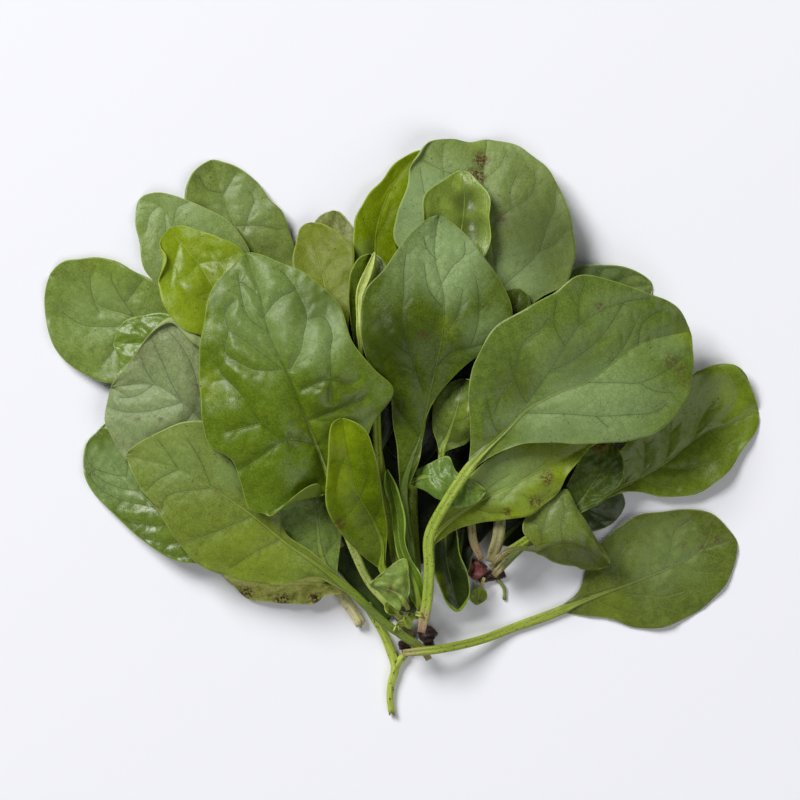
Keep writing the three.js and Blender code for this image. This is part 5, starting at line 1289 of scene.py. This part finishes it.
class Maker:
    """Makes one material, node by node."""

    def __init__(self, name):
        self.material = bpy.data.materials.new(name)
        self.material.use_nodes = True
        self.tree = self.material.node_tree
        self.tree.nodes.clear()
        self.place = self.node("ShaderNodeTexCoord", output="Object")

    def node(self, kind, settings=None, sockets=None, output=0):
        """A node of a kind: its settings first, then its sockets' values or links. Returns one output."""
        node = self.tree.nodes.new(kind)
        for key, value in (settings or {}).items():
            setattr(node, key, value)
        named = {socket.identifier: socket for socket in node.inputs}
        for key, value in (sockets or {}).items():
            socket = named.get(key) or node.inputs[key]
            if isinstance(value, Wire):
                self.tree.links.new(value.socket, socket)
            else:
                socket.default_value = value
        ends = {socket.identifier: socket for socket in node.outputs}
        return Wire(self, ends.get(output) or node.outputs[output]) if ends else node

    def math(self, operation, *values):
        """The result of a Math node."""
        return self.node("ShaderNodeMath", {"operation": operation}, dict(enumerate(values)))

    def largest(self, a, b):
        """The greater of two values."""
        return self.math("MAXIMUM", a, b)

    def least(self, a, b):
        """The smaller of two values."""
        return self.math("MINIMUM", a, b)

    def size(self, value):
        """A value without its sign."""
        return self.math("ABSOLUTE", value)

    def step(self, value, low, high):
        """0 below low, 1 above high, with a smooth step between."""
        return self.node("ShaderNodeMapRange", {"interpolation_type": "SMOOTHSTEP"},
                         {"Value": value, "From Min": low, "From Max": high})

    def fall(self, value, low, high):
        """The reverse: 1 below low and 0 above high."""
        return 1 - self.step(value, low, high)

    def mix(self, share, one, other):
        """One colour where the share is 0 and the other where it is 1."""
        return self.node("ShaderNodeMix", {"data_type": "RGBA"},
                         {"Factor_Float": share, "A_Color": one, "B_Color": other}, "Result_Color")

    def noise(self, size, detail=2, vector=None, rough=0.5):
        """Cloudy noise between 0 and 1 whose clouds are about size millimetres across."""
        return self.node("ShaderNodeTexNoise", {}, {
            "Vector": vector or self.place, "Scale": 1 / (size * MM), "Detail": detail, "Roughness": rough})

    def net(self, size):
        """The distance from the lines of a net with meshes of about size millimetres, in shares of one."""
        warp = self.node("ShaderNodeTexNoise", {}, {
            "Vector": self.place, "Scale": 1 / (2 * size * MM), "Detail": 1}, "Color")
        shifted = self.node("ShaderNodeVectorMath", {"operation": "MULTIPLY_ADD"},
                            {0: warp, 1: (size * MM,) * 3, 2: self.place})
        return self.node("ShaderNodeTexVoronoi", {"feature": "DISTANCE_TO_EDGE"},
                         {"Vector": shifted, "Scale": 1 / (size * MM)})

    def value(self, name):
        """A value that the mesh keeps at its points."""
        return self.node("ShaderNodeAttribute", {"attribute_name": name}, output="Fac")

    def along_fibres(self, thin, long):
        """Coordinates that stretch a pattern along the fibres of a stalk: thin across and long along it."""
        return self.node("ShaderNodeCombineXYZ", {}, {
            0: self.value("across") * (MM / thin), 1: self.value("run") * (MM / long)})

    def surface(self, colour, roughness, height, gloss=0.5):
        """The finished shader: a colour, a roughness, and a relief in millimetres."""
        bump = self.node("ShaderNodeBump", {}, {"Height": height, "Distance": MM, "Strength": 1.0})
        shader = self.node("ShaderNodeBsdfPrincipled", {}, {
            "Base Color": colour, "Roughness": roughness, "Normal": bump, "Specular IOR Level": gloss})
        self.node("ShaderNodeOutputMaterial", {}, {"Surface": shader})
        return self.material


PALE = (198, 210, 118)  # what a tone is lightened towards
# Painted light: the yellow green where light shines through the thin leaf and along lit folds.
GLOW_GREEN = paint(136, 156, 12)
# A painted sheen: the bluish grey of a broad reflection of the lamps.
SHEEN_GREY = paint(140, 164, 106)
BROWN = paint(80, 48, 30)
SOIL = paint(50, 36, 24)
FOOT = paint(164, 134, 106)
NET_MESH, FINE_NET_MESH = 2.9, 1.1
VEIN_LINE = (0.04, 0.27)  # how far from its middle a line is full, and where it ends
TWIG_LINE = (0.03, 0.22)
# Where the painted highlight along a margin is full, and where it ends.
LIT_RIM = (0.15, 0.65)
RIB_HALF, RIB_LEAST_HALF = 1.9, 0.22  # half the midrib's line at the base, and what is added to the tip
FOOT_LENGTH = 17
SPECKS = (0.69, 0.73)
GRAINS = (0.64, 0.69)


def toned(colour, share):
    """A colour made lighter by a share of the way to PALE, or darker by a share where it is negative."""
    colour = np.array(colour, float)
    return paint(*(colour + (np.array(PALE) - colour) * share if share > 0 else colour * (1 + share)))


def leaf_finish(name, look):
    """A leaf's skin: a body colour in soft clouds, lighter between the veins as painted light on the bulging
    cells, with thin lines on the veins, on their twigs and on a fine net: painted shade in their grooves
    where the veins' tone is dark, the veins' own pale colour where it is light. A line of painted shade runs
    beside the midrib, which runs on into the fibrous stalk. The margin is a thin pale line of painted
    highlight. Patches of painted glow, sheen and shade, brown flecks and soil come last."""
    body = look.body
    m = Maker(name)
    share, across, run = m.value("share"), m.size(m.value("across")), m.value("run")
    gap, twig_gap = m.value("vein_gap"), m.value("twig_gap")
    clouds, mottle = m.noise(30, 2), m.noise(4, 3)
    grain = m.noise(0.8, 2)
    net, fine_net = m.net(NET_MESH), m.net(FINE_NET_MESH)

    cell = m.step(m.least(gap, twig_gap * 1.6), 0.2, 2.6)
    colour = m.mix(m.step(clouds, 0.3, 0.7), toned(body, -0.13), paint(*body))
    # Painted light: the bulging cells between the veins are lighter, in patches of the mottle.
    colour = m.mix(cell * m.step(mottle, 0.3, 0.7), colour, toned(body, 0.12))
    colour = m.mix(m.step(grain, 0.45, 0.62) * 0.5, colour, toned(body, 0.16))
    colour = m.mix(m.fall(grain, 0.36, 0.5) * 0.5, colour, toned(body, -0.16))
    # Painted light: patches of a yellow-green glow, where light shines through the thin leaf and lights its
    # folds.
    colour = m.mix(m.value("painted_glow") * (0.3 + mottle * 0.5), colour, GLOW_GREEN)
    # Painted sheen: patches of the bluish grey of a broad reflection, where the waxy skin is also rougher.
    colour = m.mix(m.value("painted_sheen") * (0.45 + mottle * 0.5), colour, SHEEN_GREY)
    # Painted shade: dark patches in hollows, inside folds and on parts turned from the light.
    colour = m.mix(m.value("dark") * 0.8, colour, toned(body, -0.4))

    # The net's lines, the twigs, the veins and the trough beside each vein take the veins' tone: below 0 it
    # is painted shade in the grooves along them, above 0 the veins' own pale colour.
    net_line = m.fall(net, 0.0, 0.1) * m.step(mottle + clouds, 0.7, 1.15)
    fine_line = m.fall(fine_net, 0.0, 0.3)
    twig = m.fall(m.size(m.value("twig")), *TWIG_LINE) * m.fall(twig_gap, 0.5, 1.0)
    line = m.fall(m.size(m.value("vein")), *VEIN_LINE) * m.fall(gap, 0.7, 1.2)
    trough = m.fall(gap, 0.1, 1.2)
    faint = fine_line * 0.14 + net_line * 0.3 + twig * 0.22 + trough * 0.1
    colour = m.mix(faint * look.lines, colour, toned(body, look.veins * 0.85))
    colour = m.mix(line * 0.62 * look.lines, colour, toned(body, look.veins))

    blade = m.step(share, -0.03, 0.03)
    rib_half = m.math("EXPONENT", share * (-1 / RIB_FADE)) * RIB_HALF + RIB_LEAST_HALF
    rib = m.fall(across / rib_half, 0.55, 1)
    # Painted shade: a dark line on either side of the midrib, along the blade.
    beside = m.step(across / rib_half, 0.7, 1) * m.fall(across / rib_half, 1, 1.9) * blade
    colour = m.mix(beside * 0.4, colour, toned(body, -0.4))
    fibre = m.noise(1, 2, m.along_fibres(0.35, 6))
    shaded = np.array(look.stalk) * 0.76
    stalk = m.mix(m.step(fibre, 0.3, 0.7) * 0.6, paint(*look.stalk), paint(*shaded))
    midrib = m.mix(m.step(share, 0, 0.35), stalk, toned(body, look.rib))
    colour = m.mix(rib * blade * (0.85 - share * 0.45), colour, midrib)
    colour = m.mix(1 - blade, colour, stalk)

    # Painted highlight: a thin pale line along the margin, where it catches the light.
    rim = m.fall(m.value("edge"), *LIT_RIM) * blade
    colour = m.mix(rim * 0.75, colour, toned(body, 0.5))
    # Painted light: a wider lighter strip along the margins, from a given share of the blade.
    if look.band:
        wide, tint, start = look.band
        reach = m.step(share, start, 1) * wide + 0.01
        colour = m.mix(m.fall(m.value("edge") / reach, 0.6, 1) * 0.9, colour, paint(*tint))
    under = m.value("under")
    colour = m.mix(under * blade * look.back, colour, toned(body, 0.3))

    foot = m.fall(run, 1, FOOT_LENGTH) * m.step(fibre + (1 - run * 0.05), 0.45, 1.0) * (1 - blade)
    colour = m.mix(foot * look.foot, colour, FOOT)
    blemish = m.value("brown") * m.step(m.noise(1.5, 3, rough=0.7), 0.4, 0.56)
    specks = m.step(m.noise(1.1, 1), *SPECKS) * m.step(m.noise(12, 1), 0.45, 0.6)
    dirt = m.largest(specks * 0.7, m.step(m.noise(3, 4, rough=0.7), 0.5, 0.62) * look.mud * 0.7)
    colour = m.mix(m.largest(blemish, dirt), colour, BROWN)
    soil = m.step(m.noise(0.9, 1), *GRAINS) * (0.3 * foot + 0.7 * (1 - blade) + look.mud * 0.8)
    colour = m.mix(soil, colour, SOIL)

    relief = cell * 0.06 - line * 0.08 - twig * 0.03 - net_line * 0.03 - fine_line * 0.01
    relief = relief + grain * 0.035 + m.noise(0.45, 1) * 0.015 + fibre * m.largest(rib, 1 - blade) * 0.2
    rough = look.rough - 0.06 + (mottle - 0.5) * 0.2 + m.value("painted_sheen") * 0.16
    rough = rough + under * 0.12 + dirt * 0.2 + blemish * 0.1
    return m.surface(colour, rough, relief + dirt * 0.1, look.gloss)


def stem_finish(name, base, shade, mud):
    """A stem's skin: fibres along it in two tones, darker at its torn ends, with specks of soil."""
    m = Maker(name)
    fibre = m.noise(1, 3, m.along_fibres(0.4, 7))
    blotch = m.noise(5, 3)
    colour = m.mix(m.step(fibre, 0.3, 0.7), paint(*base), paint(*shade))
    end = m.fall(m.value("edge"), 0.2, 3) * m.step(blotch, 0.3, 0.6)
    colour = m.mix(end * 0.7, colour, BROWN)
    dirt = m.step(m.noise(1.8, 3, rough=0.7), 0.72 - 0.2 * mud, 0.8 - 0.2 * mud)
    colour = m.mix(dirt * 0.8, colour, SOIL)
    relief = fibre * 0.35 + m.noise(0.7, 2) * 0.1 + dirt * 0.15
    return m.surface(colour, 0.5 + dirt * 0.3, relief)


STEM_FINISHES = {  # each with its two colours and how muddy it is
    "stem": ((190, 204, 84), (146, 162, 46), 0.7),
    "pale_stem": ((232, 220, 176), (198, 196, 128), 0.5),
    "root": ((150, 164, 80), (116, 128, 52), 0.6),
    "crown": ((168, 98, 92), (112, 62, 56), 0.7),
    "soil": ((70, 48, 40), (38, 26, 22), 1.0),
    "shoot": ((200, 216, 100), (160, 180, 62), 0),
}
made = {}


def finish(name):
    """The material of that name, made when it is first asked for."""
    if name not in made:
        made[name] = stem_finish(name, *STEM_FINISHES[name])
    return made[name]


# ---- The bunch ----
specs = {**LEAVES, **{f"heart_leaf_{i + 1}": heart_leaf(spec) for i, spec in enumerate(HEART_LEAVES)}}
CORNER_LEAF = "leaf_lower_left"


def design_corner(name):
    """The least x and y of a leaf's own points, before the bunch is centred on its origin."""
    centre, left, right = Outline(specs[name], GRAIN).coarse
    return np.min(np.vstack([centre, centre + left, centre + right]), axis=0)


SHIFT = np.array(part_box(CORNER_LEAF)[0][:2]) / MM - design_corner(CORNER_LEAF)


def look_of(name):
    """A leaf's own look, the one that the heart leaves share, or that of a leaf inside the heap, which is
    near black as painted shade.
    """
    return HEART_LOOK if name.startswith("heart_leaf") else LEAF_LOOKS.get(name, SHADED_HIDDEN_LOOK)


STEMS = {"forked_root_stub": root_stub, "cut_stem": cut_stem, "rootlet": rootlet}
leaves = {}
for order, entry in enumerate(LAYING.split(",")):
    name, _, part = entry.strip().partition(" ")
    if name in STEMS:
        STEMS[name]()
        continue
    if name in CROWNS:
        crown(name)
        continue
    if name not in leaves:
        grain = HIDDEN_GRAIN if name.startswith("under_leaf") else GRAIN
        leaves[name] = Leaf(name, specs[name], look_of(name), FIRST_LEAF_SEED + LEAF_SEED_STEP * order, grain)
    leaf = leaves[name]
    first = leaf.base + 1 if part == "blade" else 0
    last = leaf.base + 1 if part == "stalk" else len(leaf.x)
    leaf.lay(first, last)
for name, spec in SHADE_LEAVES.items():
    leaves[name] = Leaf(name, spec, SHADE_LOOK, SHADE_SEED, HIDDEN_GRAIN)
for leaf in leaves.values():
    leaf.make()
for name in CRUMBS:
    crumbs(name)
tendrils()

# ---- Floor, light and camera: in metres, apart from the lengths that say otherwise ----
FLOOR_REACH = 8000  # in millimetres
FLOOR_COLOUR = (246, 246, 252)
LAMPS = {"key": ((-3, 3.3, 3.75), 2.6, 375), "fill": ((2.5, -2.7, 4), 3.6, 90)}  # place, size and power
SKY_COLOUR = (0.96, 0.98, 1, 1)
SKY_STRENGTH = 0.1
VIEW_CENTRE = (-1, 13.5)  # in millimetres, before the bunch is centred
VIEW_WIDTH = 0.4
VIEW_DISTANCE = 3
VIEW_END = 100
SENSOR = 36


def floor():
    """A wide pale level floor under the bunch."""
    corners = [(FLOOR_REACH * x, FLOOR_REACH * y, 0) for x, y in ((-1, -1), (1, -1), (1, 1), (-1, 1))]
    ground = mesh_object("floor", corners, [(0, 1, 2, 3)])
    m = Maker("floor")
    ground.data.materials.append(m.surface(paint(*FLOOR_COLOUR), 0.7, m.noise(3) * 0.01, 0.2))


def soft_light(name, place, size, power):
    """A square soft light that faces the bunch."""
    lamp = bpy.data.lights.new(name, "AREA")
    lamp.size, lamp.energy = size, power
    thing = bpy.data.objects.new(name, lamp)
    thing.location = place
    thing.rotation_euler = (-Vector(place)).to_track_quat("-Z", "Y").to_euler()
    bpy.context.scene.collection.objects.link(thing)


def world():
    """A faint light from all round."""
    sky = bpy.data.worlds.new("studio")
    bpy.context.scene.world = sky
    sky.use_nodes = True
    ground = sky.node_tree.nodes["Background"]
    ground.inputs["Color"].default_value = SKY_COLOUR
    ground.inputs["Strength"].default_value = SKY_STRENGTH


def camera():
    """A camera straight above the bunch, whose picture is VIEW_WIDTH wide on the table."""
    lens = bpy.data.cameras.new("camera")
    lens.sensor_width, lens.lens = SENSOR, SENSOR * VIEW_DISTANCE / VIEW_WIDTH
    lens.clip_end = VIEW_END
    eye = bpy.data.objects.new("camera", lens)
    x, y = (np.array(VIEW_CENTRE) + SHIFT) * MM
    eye.location = (x, y, VIEW_DISTANCE)
    bpy.context.scene.collection.objects.link(eye)
    bpy.context.scene.camera = eye


floor()
for name, lamp in LAMPS.items():
    soft_light(name, *lamp)
world()
camera()
bpy.context.scene.view_settings.view_transform = "Standard"
